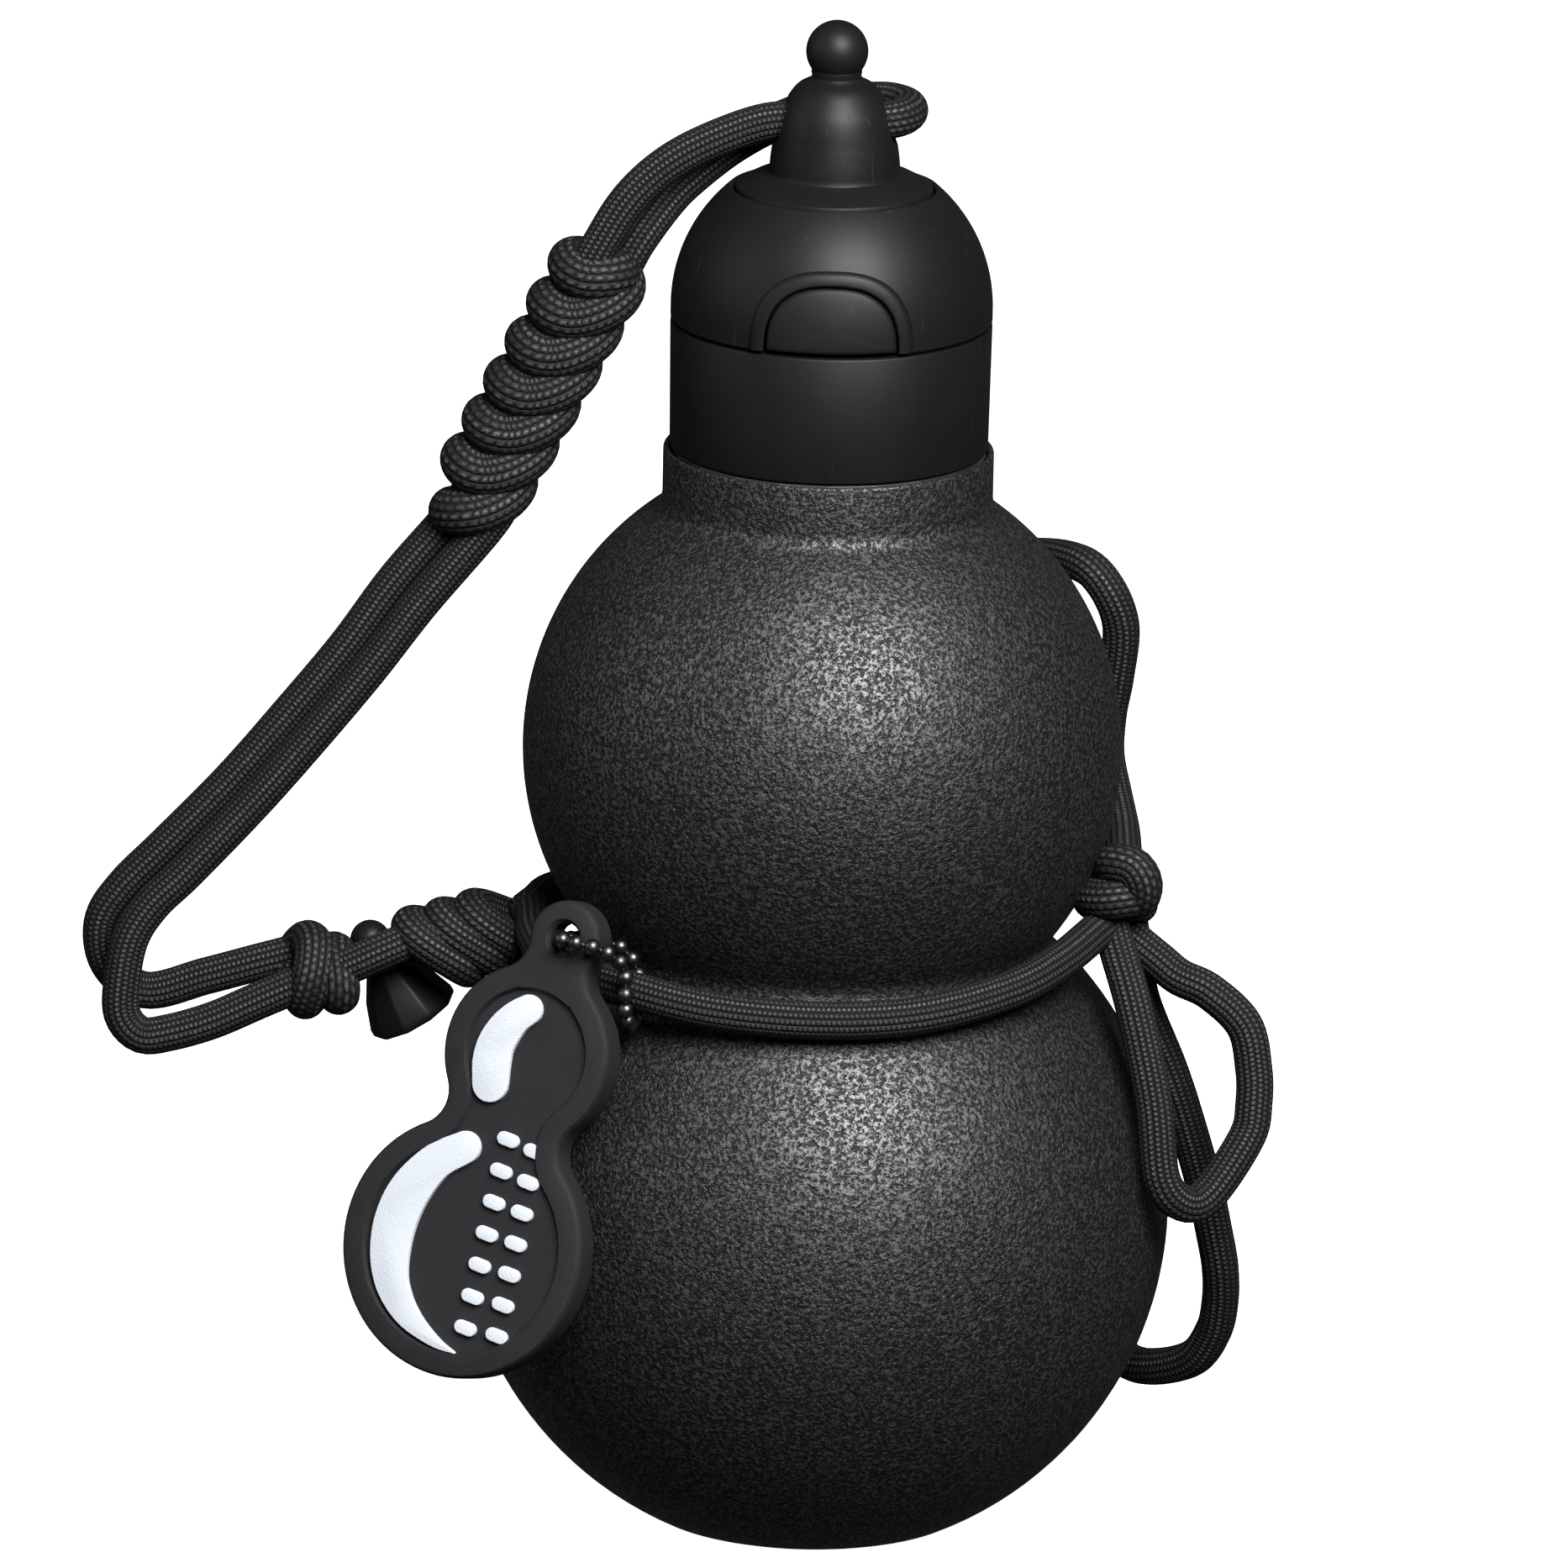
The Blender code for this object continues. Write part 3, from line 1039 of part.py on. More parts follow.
def main() -> None:
    """Build every piece."""
    clear_scene()
    coat = material("powder_coat", (0.015, 0.015, 0.016), 0.55, 0.2)
    steel = material("steel", (0.6, 0.6, 0.62), 0.3, 1.0)
    getter_steel = material("getter_steel", (0.35, 0.35, 0.36), 0.5, 1.0)
    lid_plastic = material("lid_plastic", (0.017, 0.017, 0.018), 0.5)
    liner_plastic = material("liner_plastic", (0.03, 0.03, 0.032), 0.45)
    silicone = material("silicone", (0.55, 0.56, 0.57), 0.6)
    cord = material("cord", (0.012, 0.012, 0.013), 0.85)
    clip = material("clip_plastic", (0.01, 0.01, 0.011), 0.35)
    tag_rubber = material("tag_rubber", (0.02, 0.021, 0.023), 0.6)
    tag_white = material("tag_white", (0.82, 0.85, 0.86), 0.5)
    chain_metal = material("chain_metal", (0.03, 0.03, 0.033), 0.35, 0.8)
    lid = pivot("lid_lift", Vector((0, 0, RIM_Z)))
    cover = pivot("cover_hinge", Vector((0, HINGE_Y, HINGE_Z)), lid)
    button = pivot("button_push", Vector((0, -COLLAR_TOP_R, BUTTON_Z + BUTTON_H / 2)), lid)
    tag = pivot("tag_swing", tag_frame()[0])
    make_outer_shell(coat)
    make_inner_liner(steel)
    make_base(steel, getter_steel)
    make_collar(lid, lid_plastic)
    make_insert(lid, liner_plastic)
    make_seal_ring(lid, silicone)
    make_spout(lid, liner_plastic)
    make_hinge(lid, steel)
    make_button(button, lid, lid_plastic, steel)
    make_dome(cover, lid_plastic)
    make_finial(cover, lid_plastic, steel)
    make_cover_liner(cover, liner_plastic, silicone)
    make_cords(cover, lid, cord)
    make_clip(clip)
    make_tag(tag, tag_rubber, tag_white, chain_metal)


main()
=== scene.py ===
"""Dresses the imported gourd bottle: coat, lid, lanyard, clip, tag, studio and camera."""
import logging
import math
from collections.abc import Callable
from dataclasses import dataclass
from enum import Enum

import bmesh
import bpy
from mathutils import Matrix, Vector


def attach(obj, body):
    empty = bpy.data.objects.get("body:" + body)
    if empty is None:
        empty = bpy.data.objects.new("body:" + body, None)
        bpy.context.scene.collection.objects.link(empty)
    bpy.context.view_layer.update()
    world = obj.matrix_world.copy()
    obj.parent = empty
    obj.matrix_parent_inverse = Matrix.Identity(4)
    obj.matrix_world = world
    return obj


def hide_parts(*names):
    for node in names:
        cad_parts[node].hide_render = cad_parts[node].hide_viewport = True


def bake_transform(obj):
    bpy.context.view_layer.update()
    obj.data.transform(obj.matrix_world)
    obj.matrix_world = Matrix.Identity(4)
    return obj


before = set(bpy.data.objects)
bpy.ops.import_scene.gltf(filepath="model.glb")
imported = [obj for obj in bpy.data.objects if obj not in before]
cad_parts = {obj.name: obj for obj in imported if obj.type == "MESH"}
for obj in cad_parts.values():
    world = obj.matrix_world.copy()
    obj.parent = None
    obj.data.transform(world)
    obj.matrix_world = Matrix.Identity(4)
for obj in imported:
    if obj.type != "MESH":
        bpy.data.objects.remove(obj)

LOG = logging.getLogger("gourd_bottle")
TINY = 1e-6
CLEARANCE = 0.0003
WHITE = (1.0, 1.0, 1.0, 1.0)
SUBSTEPS = 24
Piece = bpy.types.Object


class Body(Enum):
    """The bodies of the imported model."""

    BOTTLE = "bottle"
    LID = "lid"
    COVER = "cover"
    BUTTON = "button"
    TAG = "tag"


def maths(operation: str, flipped: bool = False) -> Callable:
    """Make a method that adds one Math node to a value.

    Args:
        operation: The node's operation.
        flipped: Whether the other term comes first.

    Returns:
        The method.
    """
    def method(value: "Value", *others: object) -> "Value":
        """Add the node."""
        terms = (*others, value) if flipped else (value, *others)
        return value.graph.node("ShaderNodeMath", dict(enumerate(terms)), operation=operation)
    return method


class Value:
    """A shader socket; operators on it add Math nodes."""

    def __init__(self, graph: "Graph", socket: bpy.types.NodeSocket) -> None:
        """Keep the socket with the graph that it belongs to."""
        self.graph = graph
        self.socket = socket

    __add__ = __radd__ = maths("ADD")
    __mul__ = __rmul__ = maths("MULTIPLY")
    __rsub__ = maths("SUBTRACT", flipped=True)
    __pow__ = maths("POWER")
    __mod__ = maths("FLOORED_MODULO")
    wave = maths("SINE")
    whole = maths("FLOOR")


class Graph:
    """One material's nodes, built by expressions."""

    def __init__(self, name: str) -> None:
        """Start a material with its shader.

        Args:
            name: Name of the material.
        """
        self.material = bpy.data.materials.new(name)
        self.material.use_nodes = True
        self.tree = self.material.node_tree
        self.shader = self.tree.nodes["Principled BSDF"]

    def put(self, inputs: bpy.types.NodeInputs, values: dict) -> None:
        """Link values to a node's sockets, or set constants on them.

        Args:
            inputs: The node's sockets.
            values: What they get, by name or number.
        """
        for key, value in values.items():
            if isinstance(value, Value):
                self.tree.links.new(value.socket, inputs[key])
            else:
                inputs[key].default_value = value

    def node(self, kind: str, values: dict, output: int | str = 0, **settings: object) -> Value:
        """Add a node.

        Args:
            kind: Type of the node.
            values: Values or links of its sockets, by name or number.
            output: The output that is wanted.
            settings: Its own settings, set first.

        Returns:
            The value at that output.
        """
        node = self.tree.nodes.new(kind)
        for name, value in settings.items():
            setattr(node, name, value)
        self.put(node.inputs, values)
        return Value(self, node.outputs[output])

    def place(self) -> Value:
        """Object coordinates, in metres."""
        return self.node("ShaderNodeTexCoord", {}, "Object")

    def stretched(self, place: Value, scale: tuple) -> Value:
        """Coordinates scaled along each axis."""
        return self.node("ShaderNodeMapping", {"Vector": place, "Scale": scale})

    def noise(self, place: Value, scale: float, detail: float = 2.0) -> Value:
        """Soft noise with some cycles in a metre."""
        values = {"Vector": place, "Scale": scale, "Detail": detail, "Roughness": 0.55}
        return self.node("ShaderNodeTexNoise", values, "Fac")

    def cells(self, place: Value, scale: float) -> Value:
        """Distance to the middle of the nearest grain."""
        return self.node("ShaderNodeTexVoronoi", {"Vector": place, "Scale": scale}, "Distance")

    def spread(self, value: Value, low: float, high: float) -> Value:
        """The part of a value between two limits, from 0 to 1."""
        return self.node("ShaderNodeMapRange", {"Value": value, "From Min": low, "From Max": high})

    def mix(self, share: Value, first: object, second: object) -> Value:
        """Colour between two colours; colours are three numbers or values."""
        ends = [(*end, 1.0) if isinstance(end, tuple) else end for end in (first, second)]
        return self.node("ShaderNodeMix", {0: share, 6: ends[0], 7: ends[1]}, 2, data_type="RGBA")

    def weave(self) -> tuple[Value, Value]:
        """The two coordinates of the cord's own map: round it and along it."""
        around = self.node("ShaderNodeSeparateXYZ", {0: self.node("ShaderNodeUVMap", {}, uv_map="weave")})
        return around, Value(self, around.socket.node.outputs[1])

    def surface(self, colour: Value, roughness: Value, height: Value, distance: float, others: dict) -> None:
        """Feed the shader, its normal through a bump.

        Args:
            colour: Base colour.
            roughness: Roughness.
            height: Height pattern from 0 to 1.
            distance: Depth of the pattern in metres.
            others: What more of its inputs get, by name.
        """
        bump = self.node("ShaderNodeBump", {"Height": height, "Distance": distance, "Strength": 1.0})
        values = {"Base Color": colour, "Roughness": roughness, "Normal": bump}
        self.put(self.shader.inputs, values | others)


@dataclass(frozen=True)
class Finish:
    """A finish: a name, the record's slot that it belongs to (not used here), and how it is drawn."""

    name: str
    slot: str

    def draw(self, graph: Graph) -> None:
        """Draw the finish; each kind has its own."""

    def material(self) -> bpy.types.Material:
        """Make the finish's material the first time, and find it later.

        Returns:
            The material.
        """
        made = bpy.data.materials.get(self.name)
        if made is None:
            graph = Graph(self.name)
            self.draw(graph)
            made = graph.material
        return made


@dataclass(frozen=True)
class PowderCoat(Finish):
    """Black textured powder coat with fine sparkle: a clear coat on the crests, and painted glints that make
    the crests lighter in colour.
    """

    grain: float = 1750.0
    depth: float = 0.0005

    def draw(self, graph: Graph) -> None:
        """Lumps of powder, a finer grain and painted glints: the crests are lighter in colour and carry a
        clear coat.

        Args:
            graph: The material's nodes.
        """
        place = graph.place()
        lumps = graph.noise(place, self.grain, 1.0)
        fine = graph.noise(place, 2.4 * self.grain, 1.0)
        cloud = graph.noise(place, 40.0)
        crest = graph.spread(lumps * 0.55 + fine * 0.45, 0.47, 0.64)
        colour = graph.mix(cloud, (0.004, 0.004, 0.0045), (0.007, 0.007, 0.0075))
        # painted glint: the colour is made lighter on the lumps' crests, where light would catch them
        colour = graph.mix(crest, colour, (0.026, 0.026, 0.028))
        graph.surface(colour, 0.46 - 0.1 * crest, lumps * 0.7 + fine * 0.3, self.depth, {
            "Specular IOR Level": 0.22, "Coat Weight": crest, "Coat Roughness": 0.47, "Coat IOR": 1.75})


@dataclass(frozen=True)
class MouldedPlastic(Finish):
    """Black moulded plastic with a fine eroded grain, scuffs and finger marks."""

    dark: tuple = (0.004, 0.004, 0.0045)
    light: tuple = (0.006, 0.006, 0.0068)
    rough: float = 0.4
    depth: float = 0.000012
    shine: float = 0.22

    def draw(self, graph: Graph) -> None:
        """Grain of the mould, rubbed clouds and thin scuffs.

        Args:
            graph: The material's nodes.
        """
        place = graph.place()
        grain = graph.noise(place, 7000.0, 2.0)
        rubbed = graph.noise(place, 90.0, 4.0)
        scuff = graph.noise(graph.stretched(place, (900.0, 900.0, 60.0)), 1.0, 3.0)
        mark = graph.spread(scuff, 0.66, 0.78)
        colour = graph.mix(rubbed, self.dark, self.light)
        colour = graph.mix(mark * 0.3, colour, (0.035, 0.035, 0.037))
        rough = self.rough + 0.12 * rubbed + 0.1 * mark + 0.05 * grain
        graph.surface(colour, rough, grain + 0.6 * mark, self.depth, {"Specular IOR Level": self.shine})


@dataclass(frozen=True)
class BrushedSteel(Finish):
    """Steel brushed round the axis, with a few water marks."""

    colour: tuple = (0.58, 0.57, 0.55)
    rough: float = 0.26
    depth: float = 0.000006

    def draw(self, graph: Graph) -> None:
        """Lines of the brush and cloudy marks.

        Args:
            graph: The material's nodes.
        """
        place = graph.place()
        lines = graph.noise(graph.stretched(place, (60.0, 60.0, 5200.0)), 1.0, 2.0)
        marks = graph.noise(place, 130.0, 4.0)
        dull = tuple(0.72 * part for part in self.colour)
        colour = graph.mix(0.5 * lines + 0.4 * marks, self.colour, dull)
        rough = self.rough + 0.14 * lines + 0.1 * marks
        graph.surface(colour, rough, lines, self.depth, {"Metallic": 1.0})


@dataclass(frozen=True)
class SoftRubber(Finish):
    """Soft moulded rubber or silicone with dust in its pores."""

    dark: tuple = (0.009, 0.009, 0.010)
    light: tuple = (0.013, 0.013, 0.0145)
    rough: float = 0.56
    depth: float = 0.00003

    def draw(self, graph: Graph) -> None:
        """Pores, dust and slow clouds.

        Args:
            graph: The material's nodes.
        """
        place = graph.place()
        pores = graph.cells(place, 4200.0)
        clouds = graph.noise(place, 160.0, 4.0)
        dust = graph.spread(graph.noise(place, 5200.0, 1.0), 0.68, 0.8)
        pale = tuple(min(1.0, 2.4 * part + 0.02) for part in self.light)
        colour = graph.mix(clouds, self.dark, self.light)
        colour = graph.mix(dust * 0.3, colour, pale)
        rough = self.rough + 0.16 * clouds + 0.06 * pores
        graph.surface(colour, rough, pores + 0.5 * clouds, self.depth, {"Specular IOR Level": 0.25})


@dataclass(frozen=True)
class BraidedCord(Finish):
    """Braided nylon sleeve: rows of yarn crossings along the cord."""

    rows: int = 16
    dashes: float = 24.0
    depth: float = 0.0003

    def draw(self, graph: Graph) -> None:
        """Rows of yarn along the cord, each a run of short painted glints on the yarn crowns between dark
        grooves.

        Args:
            graph: The material's nodes.
        """
        around, along = graph.weave()
        rows = around * self.rows
        row = rows.whole()
        dashes = along * self.dashes + 0.5 * row
        crown = ((rows % 1.0) * math.pi).wave()
        dash = ((dashes % 1.0) * math.pi).wave()
        slant = ((rows * 2.0 + dashes) * math.tau).wave()
        fuzz = graph.noise(graph.place(), 4200.0, 2.0)
        # painted glint: the yarn crowns are lighter in colour, broken up in patches by noise and brighter on
        # some rows
        crown_glint = graph.spread(crown * (0.4 + 0.6 * dash), 0.55, 0.95)
        glint_patches = graph.spread(fuzz, 0.34, 0.6)
        tone = 0.35 + 0.325 * (row % 3.0)
        colour = graph.mix(crown_glint * glint_patches * tone, (0.0025, 0.0025, 0.0025), (0.075, 0.074, 0.072))
        height = crown ** 0.6 * (0.55 + 0.45 * dash) + 0.05 * slant + 0.06 * fuzz
        graph.surface(colour, 0.68 - 0.2 * crown_glint, height, self.depth, {"Specular IOR Level": 0.3})


@dataclass(frozen=True)
class DarkMetal(Finish):
    """Dark plated metal of the bead chain, tarnished in patches."""

    depth: float = 0.00002

    def draw(self, graph: Graph) -> None:
        """Plating with tarnish and small dents.

        Args:
            graph: The material's nodes.
        """
        place = graph.place()
        tarnish = graph.noise(place, 900.0, 4.0)
        dents = graph.cells(place, 2600.0)
        colour = graph.mix(tarnish, (0.05, 0.05, 0.055), (0.14, 0.135, 0.13))
        graph.surface(colour, 0.26 + 0.2 * tarnish, dents, self.depth, {"Metallic": 1.0})


@dataclass(frozen=True)
class PaleSweep(Finish):
    """Pale paper of the studio floor, lit from behind."""

    glow: float = 1.0
    depth: float = 0.00002

    def draw(self, graph: Graph) -> None:
        """Even paper with a faint tooth.

        Args:
            graph: The material's nodes.
        """
        place = graph.place()
        tooth = graph.noise(place, 900.0, 3.0)
        colour = graph.mix(graph.noise(place, 3.0), (0.86, 0.86, 0.86), (0.89, 0.89, 0.89))
        graph.surface(colour, 0.85 + 0.05 * tooth, tooth, self.depth, {
            "Specular IOR Level": 0.1, "Emission Color": WHITE, "Emission Strength": self.glow})


COAT = PowderCoat("gourd_powder_coat", "powder_coat")
LID_PLASTIC = MouldedPlastic("lid_satin_plastic", "lid_plastic")
BUTTON_PLASTIC = MouldedPlastic("button_satin_plastic", "lid_plastic", rough=0.44)
LINER_PLASTIC = MouldedPlastic(
    "stopper_grey_plastic", "liner_plastic", (0.05, 0.05, 0.052), (0.07, 0.07, 0.073))
CLIP_PLASTIC = MouldedPlastic("clip_gloss_plastic", "clip_plastic", rough=0.36, shine=0.2)
STEEL = BrushedSteel("brushed_steel", "steel")
GETTER_STEEL = BrushedSteel("getter_dark_steel", "getter_steel", (0.3, 0.29, 0.27), 0.4)
SILICONE = SoftRubber("clear_silicone", "silicone", (0.62, 0.62, 0.6), (0.7, 0.7, 0.68), 0.42)
TAG_BLACK = SoftRubber("tag_black_rubber", "tag_rubber")
TAG_PALE = SoftRubber("tag_white_rubber", "tag_white", (0.46, 0.49, 0.53), (0.52, 0.55, 0.59), 0.5)
CORD = BraidedCord("braided_cord", "cord")
CHAIN = DarkMetal("bead_chain_plating", "chain_metal")
FLOOR = PaleSweep("pale_floor", "")


def clear() -> None:
    """Leave edit mode and deselect everything."""
    if bpy.context.mode != "OBJECT":
        bpy.ops.object.mode_set(mode="OBJECT")
    bpy.ops.object.select_all(action="DESELECT")


def pick(obj: Piece) -> None:
    """Select one object alone and make it active.

    Args:
        obj: The object.
    """
    clear()
    obj.select_set(True)
    bpy.context.view_layer.objects.active = obj


def settle(name: str) -> Piece:
    """Name the active object and put its place into its mesh.

    Args:
        name: Its name.

    Returns:
        The object.
    """
    obj = bpy.context.object
    if obj.mode != "OBJECT":
        bpy.ops.object.mode_set(mode="OBJECT")
    obj.name = name
    obj.data.name = name
    bpy.ops.object.transform_apply(location=True, rotation=True, scale=True)
    return obj


def link(name: str, data: bpy.types.ID) -> Piece:
    """Put new data into the scene as an object.

    Args:
        name: Name of the object.
        data: Its mesh, camera or light.

    Returns:
        The object.
    """
    obj = bpy.data.objects.new(name, data)
    bpy.context.scene.collection.objects.link(obj)
    return obj


def from_mesh(name: str, mesh: bmesh.types.BMesh) -> Piece:
    """Turn a mesh's faces outwards and put it into the scene.

    Args:
        name: Name of the object.
        mesh: The mesh, which is used up.

    Returns:
        The object.
    """
    bmesh.ops.recalc_face_normals(mesh, faces=mesh.faces)
    data = bpy.data.meshes.new(name)
    mesh.to_mesh(data)
    mesh.free()
    return link(name, data)


def block(name: str, centre: tuple, size: tuple) -> Piece:
    """Make a box with rounded edges.

    Args:
        name: Its name.
        centre: Its middle.
        size: Its size along each axis.

    Returns:
        The box.
    """
    clear()
    bpy.ops.mesh.primitive_cube_add(size=1, location=centre)
    bpy.context.object.scale = size
    box = settle(name)
    soften(box, 0.0003)
    return box


def rod(name: str, radius: float, length: float, centre: tuple, sides: int) -> Piece:
    """Make a round bar that lies across the bottle.

    Args:
        name: Its name.
        radius: Its radius.
        length: Its length.
        centre: Its middle.
        sides: Faces round it.

    Returns:
        The bar.
    """
    clear()
    bpy.ops.mesh.primitive_cylinder_add(
        vertices=sides, radius=radius, depth=length, location=centre, rotation=(0, math.pi / 2, 0))
    return settle(name)


def lathe(name: str, outline: list, segments: int) -> Piece:
    """Turn an outline about the upright axis: a circle extruded and resized ring by ring.

    Args:
        name: Name of the piece.
        outline: (radius, height) points; radius 0 closes a pole.
        segments: Faces round the axis.

    Returns:
        The piece.
    """
    clear()
    radius = max(outline[0][0], TINY)
    height = outline[0][1]
    bpy.ops.mesh.primitive_circle_add(vertices=segments, radius=radius, location=(0, 0, height))
    bpy.ops.object.mode_set(mode="EDIT")
    bpy.ops.mesh.select_all(action="SELECT")
    for next_radius, next_height in outline[1:]:
        next_radius = max(next_radius, TINY)
        bpy.ops.mesh.extrude_region_move(
            TRANSFORM_OT_translate={"value": (0, 0, next_height - height)})
        share = next_radius / radius
        bpy.ops.transform.resize(value=(share, share, 1), center_override=(0, 0, next_height))
        radius = next_radius
        height = next_height
    bpy.ops.mesh.select_all(action="SELECT")
    bpy.ops.mesh.remove_doubles(threshold=4 * TINY)
    bpy.ops.mesh.normals_make_consistent(inside=False)
    return settle(name)


def loft(name: str, rows: list) -> Piece:
    """Skin closed rows of points and close both ends.

    Args:
        name: Name of the piece.
        rows: Rows with as many points each.

    Returns:
        The piece.
    """
    mesh = bmesh.new()
    grid = [[mesh.verts.new(point) for point in row] for row in rows]
    count = len(rows[0])
    for low, high in zip(grid, grid[1:]):
        for i in range(count):
            j = (i + 1) % count
            mesh.faces.new((low[i], low[j], high[j], high[i]))
    mesh.faces.new(grid[0])
    mesh.faces.new(grid[-1])
    bmesh.ops.remove_doubles(mesh, verts=mesh.verts, dist=TINY)
    return from_mesh(name, mesh)


def cut(target: Piece, other: Piece) -> None:
    """Cut a helper shape out of a piece and delete the helper.

    Args:
        target: The piece.
        other: The helper shape.
    """
    pick(target)
    step = target.modifiers.new("cut", "BOOLEAN")
    step.operation = "DIFFERENCE"
    step.solver = "EXACT"
    step.object = other
    bpy.ops.object.modifier_apply(modifier=step.name)
    bpy.data.objects.remove(other)


def gather(target: Piece, others: list) -> None:
    """Make several shapes one piece.

    Args:
        target: The shape that stays.
        others: The shapes that it takes in.
    """
    pick(target)
    for other in others:
        other.select_set(True)
    bpy.ops.object.join()


def soften(obj: Piece, width: float, steps: int = 2, angle: float = 35.0) -> None:
    """Round the sharp edges of a piece.

    Args:
        obj: The piece.
        width: Width of the rounding.
        steps: Faces across it.
        angle: Edges sharper than this are rounded, in degrees.
    """
    pick(obj)
    step = obj.modifiers.new("edge_round", "BEVEL")
    step.width = width
    step.segments = steps
    step.limit_method = "ANGLE"
    step.angle_limit = math.radians(angle)
    bpy.ops.object.modifier_apply(modifier=step.name)


def dress(obj: Piece, finish: Finish) -> None:
    """Give a piece its finish.

    Args:
        obj: The piece.
        finish: Its finish.
    """
    obj.data.materials.clear()
    obj.data.materials.append(finish.material())


def hand_over(obj: Piece, finish: Finish, body: Body, angle: float, *nodes: str) -> None:
    """Shade and dress a rigid piece and put it on its body.

    Args:
        obj: The piece.
        finish: Its finish.
        body: Its body.
        angle: Edges sharper than this stay sharp, in degrees.
        nodes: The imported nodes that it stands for.
    """
    pick(obj)
    bpy.ops.object.shade_smooth_by_angle(angle=math.radians(angle))
    dress(obj, finish)
    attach(obj, body.value)
    if nodes:
        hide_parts(*nodes)
    LOG.info("%s: %d faces on %s", obj.name, len(obj.data.polygons), body.value)


def aimed(place: Vector, direction: Vector, pole: str = "Z") -> Matrix:
    """Matrix that stands at a place with its pole along a direction."""
    return Matrix.Translation(place) @ direction.to_track_quat(pole, "Y").to_matrix().to_4x4()


def arc(centre: tuple, radius: float, start: float, end: float, count: int) -> list:
    """Even points on an arc, ends included.

    Args:
        centre: Its centre.
        radius: Its radius.
        start: First angle.
        end: Last angle.
        count: Number of steps.

    Returns:
        The points.
    """
    angles = [start + (end - start) * i / count for i in range(count + 1)]
    return [(centre[0] + radius * math.cos(a), centre[1] + radius * math.sin(a)) for a in angles]


def strung(circles: list, fillet: float, start: float, end: float, fillet_steps: int) -> list:
    """Outline of circles on one axis, with a fillet from each to the next.

    Args:
        circles: (height, radius, steps) of each circle.
        fillet: Radius of the fillets.
        start: Angle where the first circle starts.
        end: Angle where the last circle ends.
        fillet_steps: Steps on each fillet.

    Returns:
        (distance from the axis, height) points.
    """
    points = []
    for (low, low_r, steps), (high, high_r, _) in zip(circles, circles[1:]):
        gap = high - low
        along = ((low_r + fillet) ** 2 - (high_r + fillet) ** 2 + gap ** 2) / (2 * gap)
        centre = (math.sqrt((low_r + fillet) ** 2 - along ** 2), low + along)
        leave = math.atan2(along, centre[0])
        meet = math.atan2(centre[1] - high, centre[0])
        points += arc((0.0, low), low_r, start, leave, steps)
        points += arc(centre, fillet, leave + math.pi, meet + math.pi, fillet_steps)[1:-1]
        start = meet
    high, high_r, steps = circles[-1]
    return points + arc((0.0, high), high_r, start, end, steps)


@dataclass
class Shell:
    """The gourd-shaped outer shell with its neck and its base ring."""

    lower_r: float = 0.0473
    upper_r: float = 0.0396
    base_r: float = 0.0208
    spacing: float = 0.0624
    waist_fillet: float = 0.003
    neck_r: float = 0.0218
    neck_fillet: float = 0.003
    neck_length: float = 0.0078
    wall: float = 0.0008
    ring_width: float = 0.0019
    ring_h: float = 0.0014
    ring_edge: float = 0.0004
    foot_edge: float = 0.0003
    segments: int = 144
    steps: int = 46

    @property
    def lower_z(self) -> float:
        """Height of the lower bulb's middle."""
        return math.sqrt(self.lower_r ** 2 - self.base_r ** 2)

    def outline(self, inset: float, base_z: float, steps: int) -> list:
        """Outline of the bulbs and the neck, moved in by an inset.

        Args:
            inset: How far the outline lies inside the outer skin.
            base_z: Height where it starts.
            steps: Steps on each bulb.

        Returns:
            (radius, height) points, bottom to top.
        """
        upper_z = self.lower_z + self.spacing
        low_r = self.lower_r - inset
        high_r = self.upper_r - inset
        neck = self.neck_fillet + inset
        neck_r = self.neck_r - inset
        neck_z = upper_z + math.sqrt((high_r + neck) ** 2 - (neck_r + neck) ** 2)
        high_end = math.atan2(neck_z - upper_z, neck_r + neck)
        start = math.asin((base_z - self.lower_z) / low_r)
        bulbs = [(self.lower_z, low_r, steps), (upper_z, high_r, steps)]
        points = strung(bulbs, self.waist_fillet + inset, start, high_end, 10)
        return points + arc((neck_r + neck, neck_z), neck, high_end + math.pi, math.pi, 8)[1:]

    def build(self) -> None:
        """Build the shell as one closed wall, with a rolled lip and a rounded base ring."""
        upper_z = self.lower_z + self.spacing
        top = upper_z + math.sqrt(self.upper_r ** 2 - self.neck_r ** 2) + self.neck_length
        lip = self.wall / 2
        outer = self.outline(0.0, self.ring_edge, self.steps)
        inner = self.outline(self.wall, self.ring_h, self.steps // 2)[::-1]
        roll = arc((self.neck_r - lip, top - lip), lip, 0.0, math.pi, 6)
        foot_r = self.base_r - self.ring_width
        foot = [(foot_r, self.ring_h), (foot_r, self.foot_edge), (foot_r + self.foot_edge, 0.0),
                (self.base_r - self.ring_edge, 0.0)]
        shell = lathe("gourd_shell", foot + outer + roll + inner + foot[:1], self.segments)
        hand_over(shell, COAT, Body.BOTTLE, 40.0, "outer_shell")


